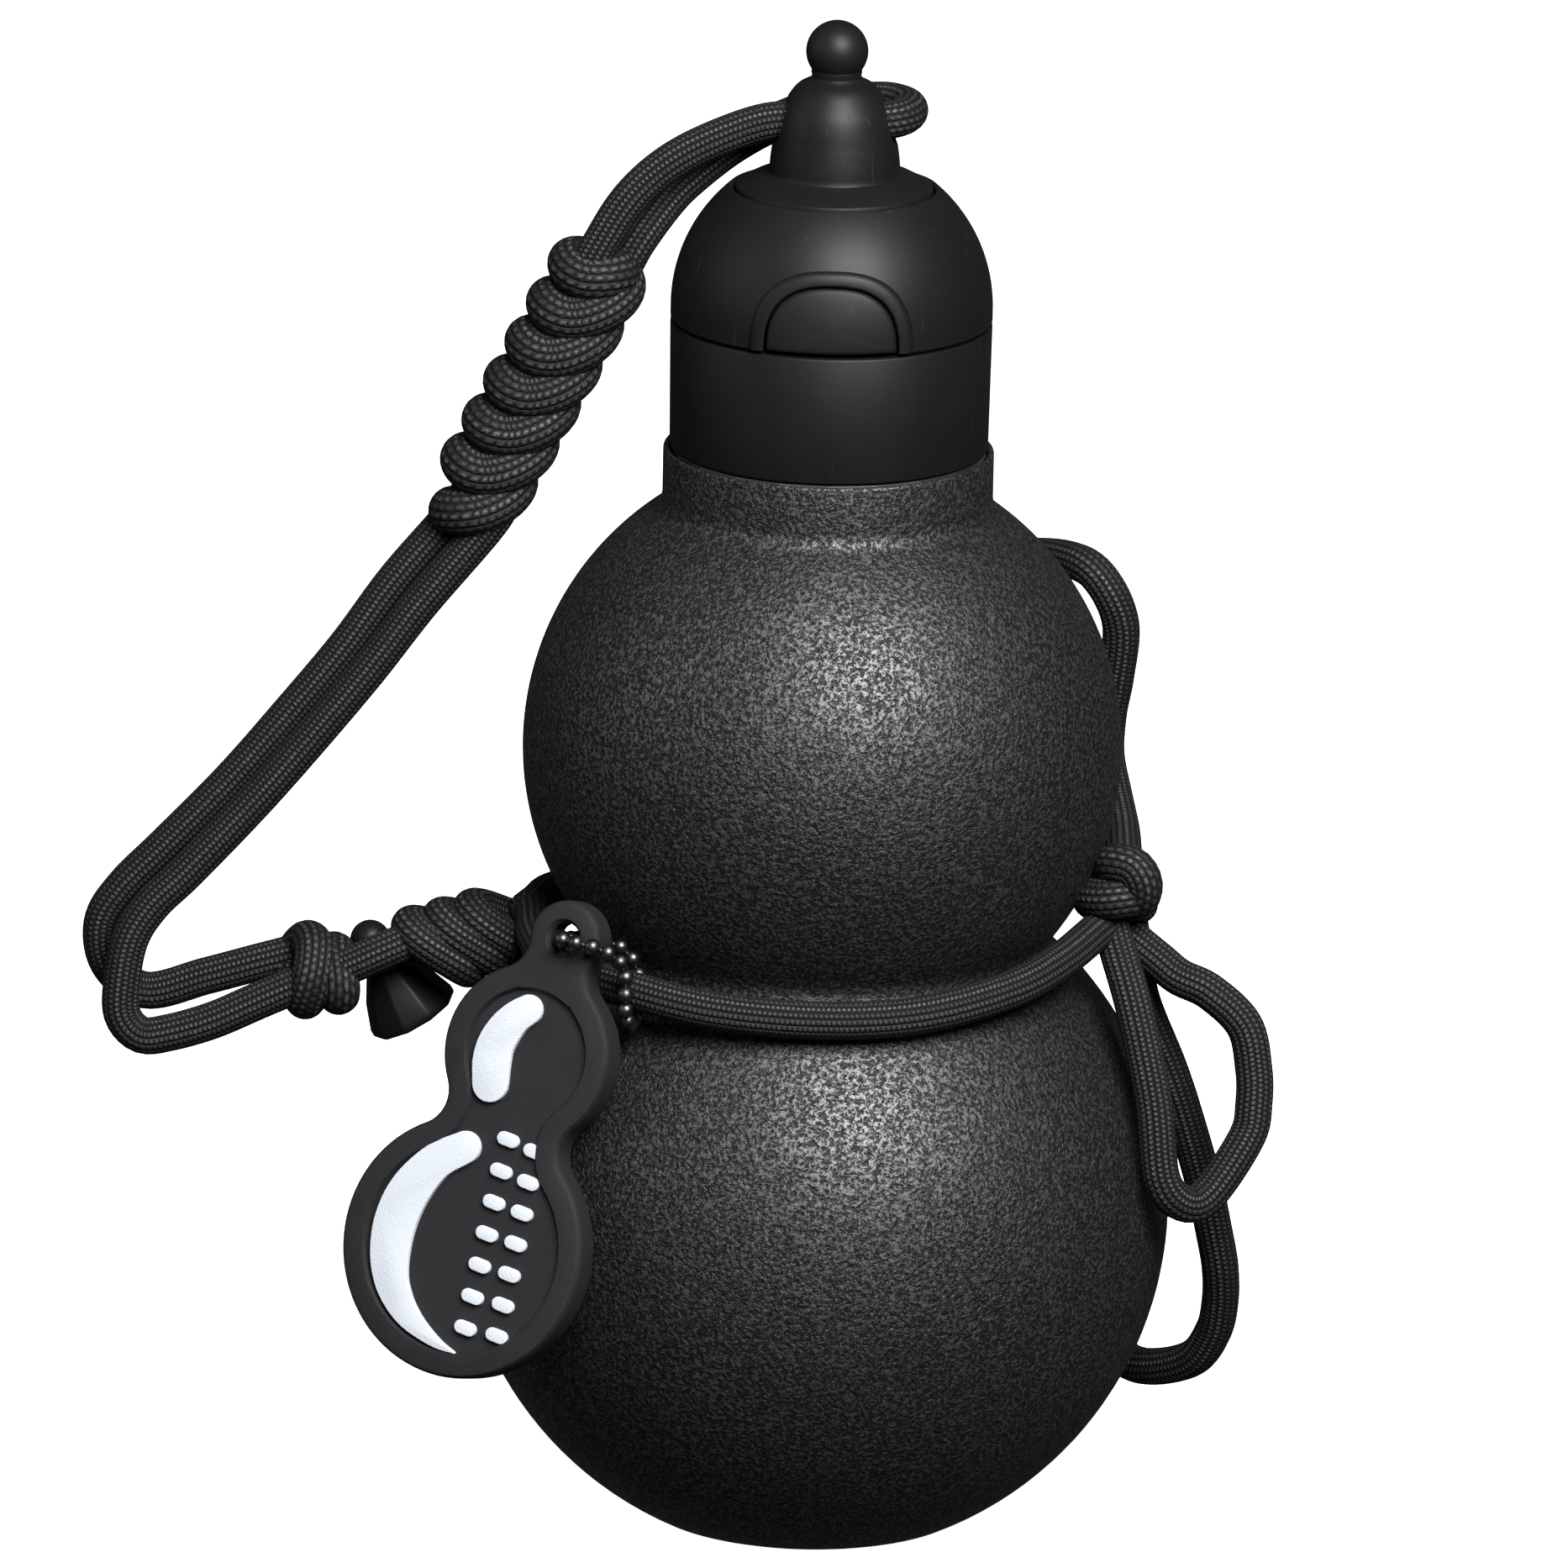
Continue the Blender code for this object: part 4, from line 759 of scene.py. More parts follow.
@dataclass
class Lid:
    """Collar, dome cover with its arch ridge, and the push button."""

    collar_r: float = 0.021
    collar_top_r: float = 0.0212
    collar_z: float = 0.14604
    collar_top: float = 0.16294
    wall: float = 0.0018
    deck_drop: float = 0.0027
    flange_t: float = 0.0023
    flange_w: float = 0.0014
    dome_z: float = 0.16324
    belt: float = 0.0017
    rise: float = 0.0211
    recess_r: float = 0.0133
    recess_z: float = 0.17977
    floor_t: float = 0.0018
    boss_r: float = 0.003
    button_w: float = 0.0171
    button_h: float = 0.0086
    button_t: float = 0.002
    curve_share: float = 0.8
    ridge_rise: float = 0.0005
    ridge: tuple = ((0.0, 0.2), (0.0002, 0.6), (0.0005, 0.8), (0.0012, 0.92), (0.0015, 0.86),
                    (0.0018, 0.4), (0.0019, -0.1), (0.0020, -0.6))
    round_over: tuple = ((0.0, -0.0004), (0.0001, -0.00015), (0.0003, -0.00003), (0.0006, 0.0))
    lip: float = 0.00055
    web_sink: float = 0.0012
    web_h: float = 0.0018
    hook_size: tuple = (0.0046, 0.0014, 0.006)
    hook_depth: float = 0.0042
    stem_size: tuple = (0.0056, 0.0064, 0.003)
    stem_depth: float = 0.0021
    edge: float = 0.0003
    knuckle_r: float = 0.0021
    pin_r: float = 0.0009
    spring_span: float = 0.0046
    cover_ear: float = 0.0023
    collar_ear: float = 0.002
    segments: int = 144
    arch_steps: int = 72

    @property
    def equator(self) -> float:
        """Height where the dome's belt ends and its curve starts."""
        return self.dome_z + self.belt

    @property
    def button_z(self) -> float:
        """Height of the button's straight lower edge."""
        return self.collar_top + 2 * CLEARANCE

    def skin_y(self, across: float, height: float, lift: float) -> float:
        """Front face of the dome at a place.

        Args:
            across: Place across the lid.
            height: Height of the place.
            lift: How far the face stands over the dome's skin.

        Returns:
            The y coordinate.
        """
        share = max(0.0, height - self.equator) / (self.rise + lift)
        radius = (self.collar_top_r + lift) * math.sqrt(max(0.0, 1 - share ** 2))
        return -math.sqrt(max(TINY, radius ** 2 - across ** 2))

    def arch(self, grow: float, base_z: float) -> list:
        """The button's arch, grown by a margin, from its right foot over to its left foot.

        Args:
            grow: Margin round the button.
            base_z: Height of the feet.

        Returns:
            (across, height) points.
        """
        points = [(self.button_w / 2 + grow, base_z)]
        for i in range(1, self.arch_steps):
            angle = math.pi * i / self.arch_steps
            side = math.copysign(abs(math.cos(angle)) ** self.curve_share, math.cos(angle))
            up = math.sin(angle) ** self.curve_share
            points.append(((self.button_w / 2 + grow) * side, self.button_z + (self.button_h + grow) * up))
        return points + [(-self.button_w / 2 - grow, base_z)]

    def ears(self, near: float, width: float, low: float, high: float) -> list:
        """Two hinge ears at the back: a rounded web and a knuckle on each side.

        Args:
            near: Distance of an ear's near face from the middle.
            width: Width of an ear.
            low: Foot of the web.
            high: Top of the web.

        Returns:
            The shapes.
        """
        pin_y = self.collar_top_r + CLEARANCE + self.knuckle_r
        pin_z = self.collar_top + CLEARANCE / 2
        front = self.collar_top_r - self.web_sink
        back = pin_y - self.pin_r
        shapes = []
        for side in (-1, 1):
            pin = (side * (near + width / 2), pin_y, pin_z)
            knuckle = rod(f"knuckle_{side}", self.knuckle_r, width, pin, 48)
            cut(knuckle, rod("pin_bore", self.pin_r + CLEARANCE, 2 * width, pin, 32))
            soften(knuckle, 0.0002)
            web = block(f"web_{side}", (pin[0], (front + back) / 2, (low + high) / 2),
                        (width, back - front - self.web_sink / 2, high - low))
            shapes += [knuckle, web]
        return shapes

    def build_collar(self) -> None:
        """Collar with softened edges, its inner flange and its ears."""
        wall_r = self.collar_r - self.wall
        deck = self.collar_top - self.deck_drop
        flange_r = wall_r - self.flange_w
        taper = self.collar_top_r - self.collar_r
        outline = [(self.collar_r - 0.0004, self.collar_z), (self.collar_r - 0.0001, self.collar_z + 0.0001),
                   (self.collar_r, self.collar_z + 0.0004), (self.collar_top_r, self.collar_top - self.edge),
                   (self.collar_top_r - 0.0001, self.collar_top - 0.0001),
                   (self.collar_top_r - self.edge, self.collar_top), (wall_r + taper, self.collar_top),
                   (wall_r + taper, deck), (flange_r, deck), (flange_r, deck - self.flange_t),
                   (wall_r, deck - self.flange_t), (wall_r, self.collar_z)]
        collar = lathe("collar", outline + outline[:1], self.segments)
        near = self.spring_span / 2 + 2 * CLEARANCE + self.cover_ear
        web_top = self.collar_top - CLEARANCE
        gather(collar, self.ears(near, self.collar_ear, web_top - self.web_h, web_top))
        hand_over(collar, LID_PLASTIC, Body.LID, 30.0, "lid_collar")

    def curve(self, inset: float, end_r: float, steps: int) -> list:
        """The dome's curve moved in by an inset, from its equator up to a radius.

        Args:
            inset: How far the curve lies inside the skin.
            end_r: Radius where it ends.
            steps: Number of steps.

        Returns:
            (radius, height) points.
        """
        half_w = self.collar_top_r - inset
        end = math.acos(end_r / half_w)
        angles = [end * i / steps for i in range(steps + 1)]
        return [(half_w * math.cos(a), self.equator + (self.rise - inset) * math.sin(a)) for a in angles]

    def build_ridge(self) -> Piece:
        """Raised band along the arch, from inside the dome's wall over to its sharper outer edge.

        Returns:
            The band.
        """
        section = [(0.0, -self.wall)] + [(grow, share * self.ridge_rise) for grow, share in self.ridge]
        strip = []
        for grow, lift in section:
            feet = self.arch(CLEARANCE + grow, self.dome_z + CLEARANCE)
            strip.append([(x, self.skin_y(x, z, lift), z) for x, z in feet])
        strip.append([(x, y + self.wall / 2, z) for x, y, z in strip[-1]])
        return loft("arch_ridge", [[row[i] for row in strip] for i in range(len(strip[0]))])

    def build_dome(self) -> None:
        """Dome with its recess, the cut for the button, the ridge, the latch hook and its ears."""
        ceiling = self.recess_z - self.floor_t
        inner_end = (self.collar_top_r - self.wall) * math.sqrt(
            1 - ((ceiling - self.equator) / (self.rise - self.wall)) ** 2)
        hole_r = self.boss_r + CLEARANCE
        skin = self.curve(0.0, self.recess_r + self.lip, 36)
        rim_z = skin[-1][1]
        outline = [(self.collar_top_r - self.edge, self.dome_z)]
        outline += [(self.collar_top_r, self.dome_z + self.edge)]
        outline += skin + [(self.recess_r + 0.00025, rim_z + 0.00003), (self.recess_r, rim_z - 0.0002)]
        outline += [(self.recess_r, self.recess_z), (hole_r, self.recess_z), (hole_r, ceiling)]
        outline += self.curve(self.wall, inner_end, 20)[::-1]
        outline += [(self.collar_top_r - self.wall, self.dome_z), outline[0]]
        dome = lathe("dome", outline, self.segments)
        arch = self.arch(CLEARANCE + 0.0002, self.dome_z - 0.003)
        rows = [[(x, y, z) for x, z in arch] for y in (-self.collar_top_r - 0.004, -0.008)]
        cut(dome, loft("arch_cut", rows))
        ridge = self.build_ridge()
        hook_y = -self.collar_top_r + self.button_t + self.hook_depth
        hook_z = self.button_z + self.button_h - 0.0005
        hook = block("latch_hook", (0, hook_y, hook_z), self.hook_size)
        near = self.spring_span / 2 + CLEARANCE
        ears = self.ears(near, self.cover_ear, self.dome_z, self.dome_z + self.web_h)
        gather(dome, [ridge, hook] + ears)
        hand_over(dome, LID_PLASTIC, Body.COVER, 32.0, "dome_cover")

    def shrunk(self, row: list) -> list:
        """Rows inside a row of the button, small to large, that close its face.

        Args:
            row: (across, height, lift) points.

        Returns:
            The rows.
        """
        middle = self.button_z + 0.42 * self.button_h
        return [[(x * share, middle + (z - middle) * share, lift) for x, z, lift in row]
                for share in (0.05, 0.3, 0.6, 0.85)]

    def build_button(self) -> None:
        """D-shaped button: a face flush with the dome, rounded over its edge, and its stem."""
        count = self.arch_steps // 2
        rows = []
        for inset, lift in ((0.0, -self.button_t), *self.round_over):
            low = self.button_z + inset
            arch = self.arch(-inset, low)
            width = arch[0][0]
            foot = [(-width + 2 * width * i / count, low) for i in range(1, count)]
            rows.append([(x, z, lift) for x, z in arch + foot])
        rows = self.shrunk(rows[0]) + rows + self.shrunk(rows[-1])[::-1]
        placed = [[(x, self.skin_y(x, z, lift), z) for x, z, lift in row] for row in rows]
        button = loft("push_button", placed)
        stem_y = -self.collar_top_r + self.button_t + self.stem_depth
        gather(button, [block("button_stem", (0, stem_y, self.button_z + 0.0031), self.stem_size)])
        hand_over(button, BUTTON_PLASTIC, Body.BUTTON, 40.0, "button")


@dataclass
class Finial:
    """Inset disc, bell and ball in one moulding, with the hole for the cord."""

    disc_r: float = 0.013
    disc_t: float = 0.0013
    disc_z: float = 0.18137
    base_r: float = 0.0086
    base_lift: float = 0.0024
    bell: tuple = ((0.0, 1.0), (0.09, 0.985), (0.18, 0.96), (0.27, 0.93), (0.36, 0.895), (0.47, 0.855),
                   (0.58, 0.80), (0.67, 0.73), (0.76, 0.62), (0.83, 0.52), (0.885, 0.43), (0.93, 0.33),
                   (0.96, 0.22), (0.985, 0.11), (1.01, 0.03), (1.04, 0.01), (1.07, 0.03))
    bell_h: float = 0.0119
    top_r: float = 0.0032
    ball_r: float = 0.0041
    ball_lift: float = 0.01555
    hole_r: float = 0.0033
    hole_lift: float = 0.0086
    flare: float = 0.0009
    boss_r: float = 0.003
    boss_z: float = 0.17668
    segments: int = 128

    def outline(self) -> list:
        """Outline from the boss under the disc up to the ball's pole.

        Returns:
            (radius, height) points.
        """
        bell_z = self.disc_z + self.base_lift
        ball_z = bell_z + self.ball_lift
        edge = self.disc_z
        points = [(0.0, self.boss_z), (self.boss_r, self.boss_z), (self.boss_r, edge - self.disc_t)]
        points += [(self.disc_r - 0.0002, edge - self.disc_t), (self.disc_r, edge - 0.0010)]
        points += [(self.disc_r, edge - 0.0004), (self.disc_r - 0.0001, edge - 0.00012)]
        points += [(self.disc_r - 0.0004, edge + 0.00005)]
        points += [(self.base_r + 0.0022, edge + 0.42 * self.base_lift)]
        points += [(self.base_r + 0.0005, bell_z - 0.0009), (self.base_r + 0.00012, bell_z - 0.00075)]
        points += [(self.base_r + 0.00004, bell_z - 0.0006)]
        knots = [(self.top_r + (self.base_r - self.top_r) * width, 0.0, bell_z + self.bell_h * lift)
                 for lift, width in self.bell]
        points += [(p.x, p.z) for p in smooth_path(knots, 0.0003)]
        neck_r = points[-1][0]
        start = -math.acos((neck_r - 0.00005) / self.ball_r)
        ball = arc((0.0, ball_z), self.ball_r, start, math.pi / 2, 30)
        ball[-1] = (0.0, ball_z + self.ball_r)
        return points + ball

    def build(self) -> None:
        """Turn the moulding and bore its flared cord hole from side to side."""
        finial = lathe("bell_finial", self.outline(), self.segments)
        reach = self.base_r + 0.004
        mouth = self.base_r - 2 * self.flare
        wide = self.hole_r + 2 * self.flare
        blend = [(self.hole_r + self.flare * t ** 2, mouth + (reach - mouth) * t / 1.5)
                 for t in (0.25, 0.5, 0.75, 1.0)]
        profile = [(0.0, -reach), (wide, -reach)] + [(r, -h) for r, h in blend[::-1]]
        profile += [(self.hole_r, -mouth), (self.hole_r, mouth)] + blend + [(wide, reach), (0.0, reach)]
        hole = lathe("cord_bore", profile, 64)
        turn = Matrix.Rotation(math.pi / 2, 4, "Y")
        hole.data.transform(Matrix.Translation((0, 0, self.disc_z + self.hole_lift)) @ turn)
        cut(finial, hole)
        hand_over(finial, LID_PLASTIC, Body.COVER, 32.0, "finial")


Route = list[tuple[float, float, float]]


def mm(*points: tuple) -> Route:
    """Points given in millimetres, in metres."""
    return [tuple(0.001 * part for part in point) for point in points]


STRAP_TOP = mm(
    (-30.7, -2.2, 172.8), (-27.7, -1.8, 178), (-24.4, -1.4, 181.8), (-20.2, -1, 185),
    (-14.7, -0.5, 187.7), (-9, 0, 189.6), (-3.5, 0, 190), (4, 0, 190), (7.9, 0.6, 190.2),
    (9.6, 3.8, 190.4), (8.9, 7.4, 190.5), (5.5, 10.2, 190.3), (-1.8, 11.3, 189.2), (-8.5, 10, 186.8),
    (-13.8, 7.6, 184.2), (-18.5, 5.6, 180.8), (-21.7, 4.2, 177.8), (-25.6, 2.4, 172.6),
)
STRAP_LOWER_A = mm(
    (-48.5, 1.5, 136.2), (-56.6, 1.5, 126.2), (-63.1, 1.5, 116.8), (-70.4, 1.5, 107.5),
    (-78.1, 1.6, 98.1), (-86.6, 1.8, 88.9), (-92, 2.2, 83.1), (-94.9, 2.6, 78), (-94, 3.1, 72),
    (-89, 3.2, 68.4), (-81.1, 3, 70.6), (-75, 2.7, 72.5), (-72.6, 2.7, 73.2),
)
STRAP_LOWER_B = mm(
    (-44.5, -1.5, 134.7), (-53.3, -1.5, 123.7), (-60, -1.5, 114.5), (-67.3, -1.5, 105.2),
    (-75, -1.6, 95.9), (-83.4, -1.8, 86.6), (-88.2, -2, 81.7), (-91, -2.4, 77.1), (-92.1, -2.7, 71),
    (-91.9, -2.8, 66.6), (-89.4, -2.9, 64), (-85.6, -2.9, 64.4), (-79.9, -2.8, 66.2), (-74.1, -2.7, 68.9),
    (-69.5, -2.7, 71),
)
STOP_KNOT = mm(
    (-70.2, 2, 71.4), (-69.2, 3.2, 74), (-67.7, 2, 76.1), (-66.6, -1.8, 75.9), (-66.9, -4, 72.7),
    (-67.8, -2.4, 69.4), (-67.3, 1.4, 69), (-65.6, 3.4, 71.8), (-64.1, 2, 74.6), (-63.8, -1.4, 74.3),
    (-63.2, -3.6, 71.6), (-63.3, -2, 69.8), (-63.6, 1, 71),
)
BOW_KNOT = mm(
    (40.5, -3, 84.6), (37.4, -4.5, 85.4), (36.1, -7.5, 86.9), (38.2, -10.3, 87.6), (40.8, -10.4, 88),
    (42.2, -7.2, 87.7), (40.6, -4.5, 89), (38.6, -6.6, 90.8), (39.2, -9.4, 92.2), (41.2, -10.4, 92.1),
    (42.5, -10.8, 90.3), (42.3, -9.8, 88), (41, -6.2, 86.2),
)
CLIP_LINK = mm((-62.8, -2.6, 73.7), (-57.9, -2.6, 76), (-54, -1.8, 77.6))
WAIST_FRONT = mm(
    (-37.6, -2.3, 80.6), (-37.1, -9, 79.9), (-34.4, -19, 79.6), (-25.5, -29.6, 79.6),
    (-13.5, -35.2, 78.3), (0, -36.6, 77.7), (13, -34.4, 78), (24.5, -27.4, 79.4), (31.2, -19.5, 81),
    (36.9, -9.8, 83.2),
)
WAIST_REAR = mm(
    (-37.3, 6.1, 81), (-35.6, 12, 80.8), (-30, 19.6, 80.4), (-19.5, 29.7, 80), (-6.5, 35, 79.8),
    (7, 35, 79.8), (19.6, 29.7, 80.2), (30, 20, 81.2), (36.2, 11.5, 82.8), (39.5, 5.6, 84.2),
    (41.1, -0.1, 84.8),
)
BOW_FRONT = mm(
    (45.1, -7.8, 78.6), (47.8, -9.2, 76.8), (51.9, -10.5, 75.2), (56.5, -11.5, 71), (57.9, -12.5, 65.2),
    (58, -13.5, 60.9), (57.2, -14.5, 56.6), (52.5, -17.2, 49.6), (49.2, -18.7, 48.4), (46, -19.6, 52),
    (44.7, -17.8, 62), (42, -14.2, 73.3), (39.6, -9.8, 80.4),
)
BOW_REAR = mm(
    (40.2, -0.5, 90.5), (39.9, 7.2, 92.2), (38.9, 13.8, 95.2), (37.8, 18.7, 99.5), (38, 19, 105),
    (38.8, 17.4, 110.5), (39.3, 15.6, 118), (37.1, 15, 123.6), (33.6, 17.6, 126), (27.2, 27.8, 124),
    (18.2, 36.3, 120), (11.2, 41.3, 112.5), (7, 43, 101), (5.7, 43.7, 90), (6, 46.2, 76), (7.5, 49.5, 60),
    (10, 50.3, 48), (16, 48.7, 36), (25, 44, 26), (33, 36, 19.5), (39.2, 26.5, 16), (44.3, 18, 14.8),
    (51, 12, 17.6), (53.9, 9, 22.5), (54.7, 7, 27.6), (54.5, 5, 32.8), (53.6, 4, 37.7), (52, 2.5, 45),
    (49.2, 0, 54.9), (46.8, -1.5, 62.2), (43, -2.6, 71.7), (41.8, -3, 78.6),
)
CHAIN_ROUTE = mm(
    (-33.9, -33.1, 87.1), (-32, -35.3, 87.2), (-29.1, -36, 86.7), (-26.3, -35, 85), (-25.2, -34.6, 82.7),
    (-25.1, -34.8, 80.2), (-25, -33.9, 77.2), (-24.5, -31.1, 74.9), (-23.7, -27.7, 75.3),
    (-23.3, -25.5, 78.3), (-24.1, -25, 81.8), (-26.4, -25.3, 84.2), (-29.2, -26, 85),
    (-30.9, -26.8, 85.3),
)


def smooth_path(route: Route, step: float) -> list[Vector]:
    """Even points on the smooth curve through a route.

    Args:
        route: Points that the curve passes through.
        step: Distance between the points that are given back, about.

    Returns:
        The points.
    """
    points = [Vector(p) for p in route]
    padded = [2 * points[0] - points[1]] + points + [2 * points[-1] - points[-2]]
    fine = []
    for a, b, c, d in zip(padded, padded[1:], padded[2:], padded[3:]):
        for i in range(SUBSTEPS):
            t = i / SUBSTEPS
            fine.append(0.5 * (2 * b + (c - a) * t + (2 * a - 5 * b + 4 * c - d) * t ** 2
                               + (3 * b - a - 3 * c + d) * t ** 3))
    fine.append(points[-1])
    runs = [0.0]
    for p, q in zip(fine, fine[1:]):
        runs.append(runs[-1] + (q - p).length)
    count = max(2, round(runs[-1] / step))
    result = []
    at = 0
    for i in range(count + 1):
        goal = runs[-1] * i / count
        while at < len(runs) - 2 and runs[at + 1] < goal:
            at += 1
        share = (goal - runs[at]) / (runs[at + 1] - runs[at])
        result.append(fine[at].lerp(fine[at + 1], share))
    return result


def run_length(points: list[Vector]) -> float:
    """Length of a run of points."""
    return sum((q - p).length for p, q in zip(points, points[1:]))


@dataclass
class Winding:
    """One cord wrapped round a knot's core."""

    centre: tuple
    axis: tuple
    side: tuple
    turns: int
    half_w: float
    half_d: float
    pitch: float
    skew: float
    start: float = 0.0
    middle: float | None = None
    sag: float = 0.0
    per_turn: int = 40
    tuck: tuple = ((0.001, 0.0004), (0.002, 0.0014), (0.0026, 0.0028))

    def loop_place(self, share: float) -> tuple[float, float]:
        """Place on one wrap, a round-ended loop, from the middle of its back run.

        Args:
            share: Turns done.

        Returns:
            Place across and place in depth.
        """
        run = self.half_w - self.half_d
        bend = math.pi * self.half_d
        at = (share % 1.0) * (4 * run + 2 * bend)
        if at < run:
            return at, self.half_d
        at -= run
        if at < bend:
            angle = math.pi / 2 - at / self.half_d
            return run + self.half_d * math.cos(angle), self.half_d * math.sin(angle)
        at -= bend
        if at < 2 * run:
            return run - at, -self.half_d
        at -= 2 * run
        if at < bend:
            angle = -math.pi / 2 - at / self.half_d
            return -run + self.half_d * math.cos(angle), self.half_d * math.sin(angle)
        return -run + at - bend, self.half_d

    def points(self) -> list[Vector]:
        """Points along the wraps, with each end tucked into the core.

        Returns:
            The points.
        """
        axis = Vector(self.axis).normalized()
        side = Vector(self.side)
        side = (side - axis * side.dot(axis)).normalized()
        back = axis.cross(side)
        back = back if back.y > 0 else -back
        total = self.turns * self.per_turn
        middle = self.turns / 2 if self.middle is None else self.middle
        result = []
        for i in range(total + 1):
            share = self.start + i / self.per_turn
            across, depth = self.loop_place(share)
            slant = -self.skew * self.pitch * math.sin(math.tau * share)
            front = (1 - math.cos(math.tau * share)) / 2
            along = self.pitch * (share - middle) + slant + self.sag * front ** 2
            result.append(Vector(self.centre) + axis * along + side * across + back * depth)
        for end, beside in ((0, 1), (-1, -2)):
            on = (result[end] - result[beside]).normalized()
            inward = -back if back.dot(result[end] - Vector(self.centre)) > 0 else back
            tucked = [result[end] + on * run + inward * dip for run, dip in self.tuck]
            result = tucked[::-1] + result if end == 0 else result + tucked
        return result


@dataclass
class Lanyard:
    """The cord: its loops, strands and knots."""

    radius: float = 0.0025
    around: int = 28
    step: float = 0.0008
    sink: float = 0.005
    knot_r: float = 0.00275
    snake_r: float = 0.00315
    slide_r: float = 0.0026
    down: tuple = (-0.454, 0.0, -0.891)
    up: tuple = (0.454, 0.0, 0.891)
    cap_length: float = 0.35
    cap_width: float = 0.7

    def tube(self, name: str, path: list[Vector], radius: float) -> Piece:
        """Sweep the cord's round section along a path, with rounded ends and its own map.

        Args:
            name: Name of the piece.
            path: Ring centres.
            radius: Radius of the cord.

        Returns:
            The piece.
        """
        last = len(path) - 1
        directions = [(path[min(i + 1, last)] - path[max(i - 1, 0)]).normalized() for i in range(last + 1)]
        normal = directions[0].orthogonal().normalized()
        directions = [directions[0], *directions, directions[-1]]
        cap = self.cap_length * radius
        centres = [path[0] - directions[0] * cap, *path, path[-1] + directions[-1] * cap]
        radii = [self.cap_width * radius] + [radius] * len(path) + [self.cap_width * radius]
        mesh = bmesh.new()
        layer = mesh.loops.layers.uv.new("weave")
        rings = []
        for centre, direction, size in zip(centres, directions, radii):
            normal = (normal - direction * normal.dot(direction)).normalized()
            other = direction.cross(normal)
            angles = [math.tau * k / self.around for k in range(self.around)]
            rings.append([mesh.verts.new(centre + size * (normal * math.cos(a) + other * math.sin(a)))
                          for a in angles])
        run = 0.0
        girth = math.tau * radius
        for i in range(len(rings) - 1):
            ahead = run + (centres[i + 1] - centres[i]).length / girth
            for k in range(self.around):
                j = (k + 1) % self.around
                face = mesh.faces.new((rings[i][k], rings[i][j], rings[i + 1][j], rings[i + 1][k]))
                left = k / self.around
                right = (k + 1) / self.around
                places = ((left, run), (right, run), (right, ahead), (left, ahead))
                for loop, place in zip(face.loops, places):
                    loop[layer].uv = place
                face.smooth = True
            run = ahead
        mesh.faces.new(rings[0][::-1])
        mesh.faces.new(rings[-1])
        obj = from_mesh(name, mesh)
        dress(obj, CORD)
        return obj

    def sunk(self, route: Route, head: tuple | None = None, tail: tuple | None = None) -> list[Vector]:
        """Path of a route whose ends run on into their knots.

        Args:
            route: The route.
            head: Direction in which the start runs on, or none for straight on.
            tail: Direction in which the end runs on.

        Returns:
            The path.
        """
        points = [Vector(p) for p in route]
        first = (Vector(head) if head else points[0] - points[1]).normalized()
        last = (Vector(tail) if tail else points[-1] - points[-2]).normalized()
        longer = [points[0] + first * self.sink] + points + [points[-1] + last * self.sink]
        return smooth_path(longer, self.step)

    def knot(self, name: str, path: list[Vector], radius: float, body: Body) -> Piece:
        """Make one knot and put it on its body.

        Args:
            name: Name of the piece.
            path: Its path.
            radius: Radius of its cord.
            body: Its body.

        Returns:
            The piece.
        """
        knot = self.tube(name, path, radius)
        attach(knot, body.value)
        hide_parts(name.replace("_wraps", ""))
        LOG.info("%s: knot", name)
        return knot

    def stretch(self, name: str, nodes: tuple, path: list[Vector], joint: tuple = ()) -> None:
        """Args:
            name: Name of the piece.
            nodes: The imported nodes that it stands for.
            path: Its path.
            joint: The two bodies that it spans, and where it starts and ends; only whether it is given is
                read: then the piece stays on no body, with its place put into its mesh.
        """
        cord = self.tube(name, path, self.radius)
        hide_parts(*nodes)
        if joint:
            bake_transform(cord)
        else:
            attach(cord, Body.BOTTLE.value)
        LOG.info("%s: %.0f mm of cord", name, 1000 * run_length(path))

    def build(self) -> None:
        """Build the knots, then the stretches between them."""
        wraps = Winding((-0.0380, 0.0, 0.1545), self.down, (1, 0, 0), 6, 0.0038, 0.0029, pitch=0.00602,
                        skew=0.23, start=0.5, middle=3.68, sag=0.0031)
        snake = self.knot("snake_knot_wraps", wraps.points(), self.snake_r, Body.LID)
        stop = self.knot("stop_knot_wraps", smooth_path(STOP_KNOT, self.step), self.knot_r, Body.BOTTLE)
        wraps = Winding((-0.0462, 0.0005, 0.0773), (0.957, 0.123, 0.265), (0, 0, -1), 3, 0.00385, 0.00305,
                        pitch=0.0042, skew=-0.95)
        slide = self.knot("slide_knot_wraps", wraps.points(), self.slide_r, Body.BOTTLE)
        bow = self.knot("bow_knot_wraps", smooth_path(BOW_KNOT, self.step), self.knot_r, Body.BOTTLE)
        self.stretch("strap_hairpin", ("strap_top_loop",), self.sunk(STRAP_TOP, self.down, self.down),
                     (Body.COVER, Body.LID, (-0.012, 0.002, 0.187), (-0.029, 0.0, 0.173)))
        self.stretch("strap_strand_back", ("strap_lower_a",), self.sunk(STRAP_LOWER_A, self.up),
                     (Body.LID, Body.BOTTLE, (-0.047, 0.0, 0.140), (-0.090, 0.0, 0.085)))
        self.stretch("strap_strand_front", ("strap_lower_b", "clip_link"),
                     self.sunk(STRAP_LOWER_B + CLIP_LINK, self.up),
                     (Body.LID, Body.BOTTLE, (-0.043, 0.0, 0.138), (-0.086, 0.0, 0.083)))
        self.stretch("waist_front_run", ("waist_cord_front",), self.sunk(WAIST_FRONT))
        self.stretch("waist_rear_run", ("waist_cord_rear",), self.sunk(WAIST_REAR))
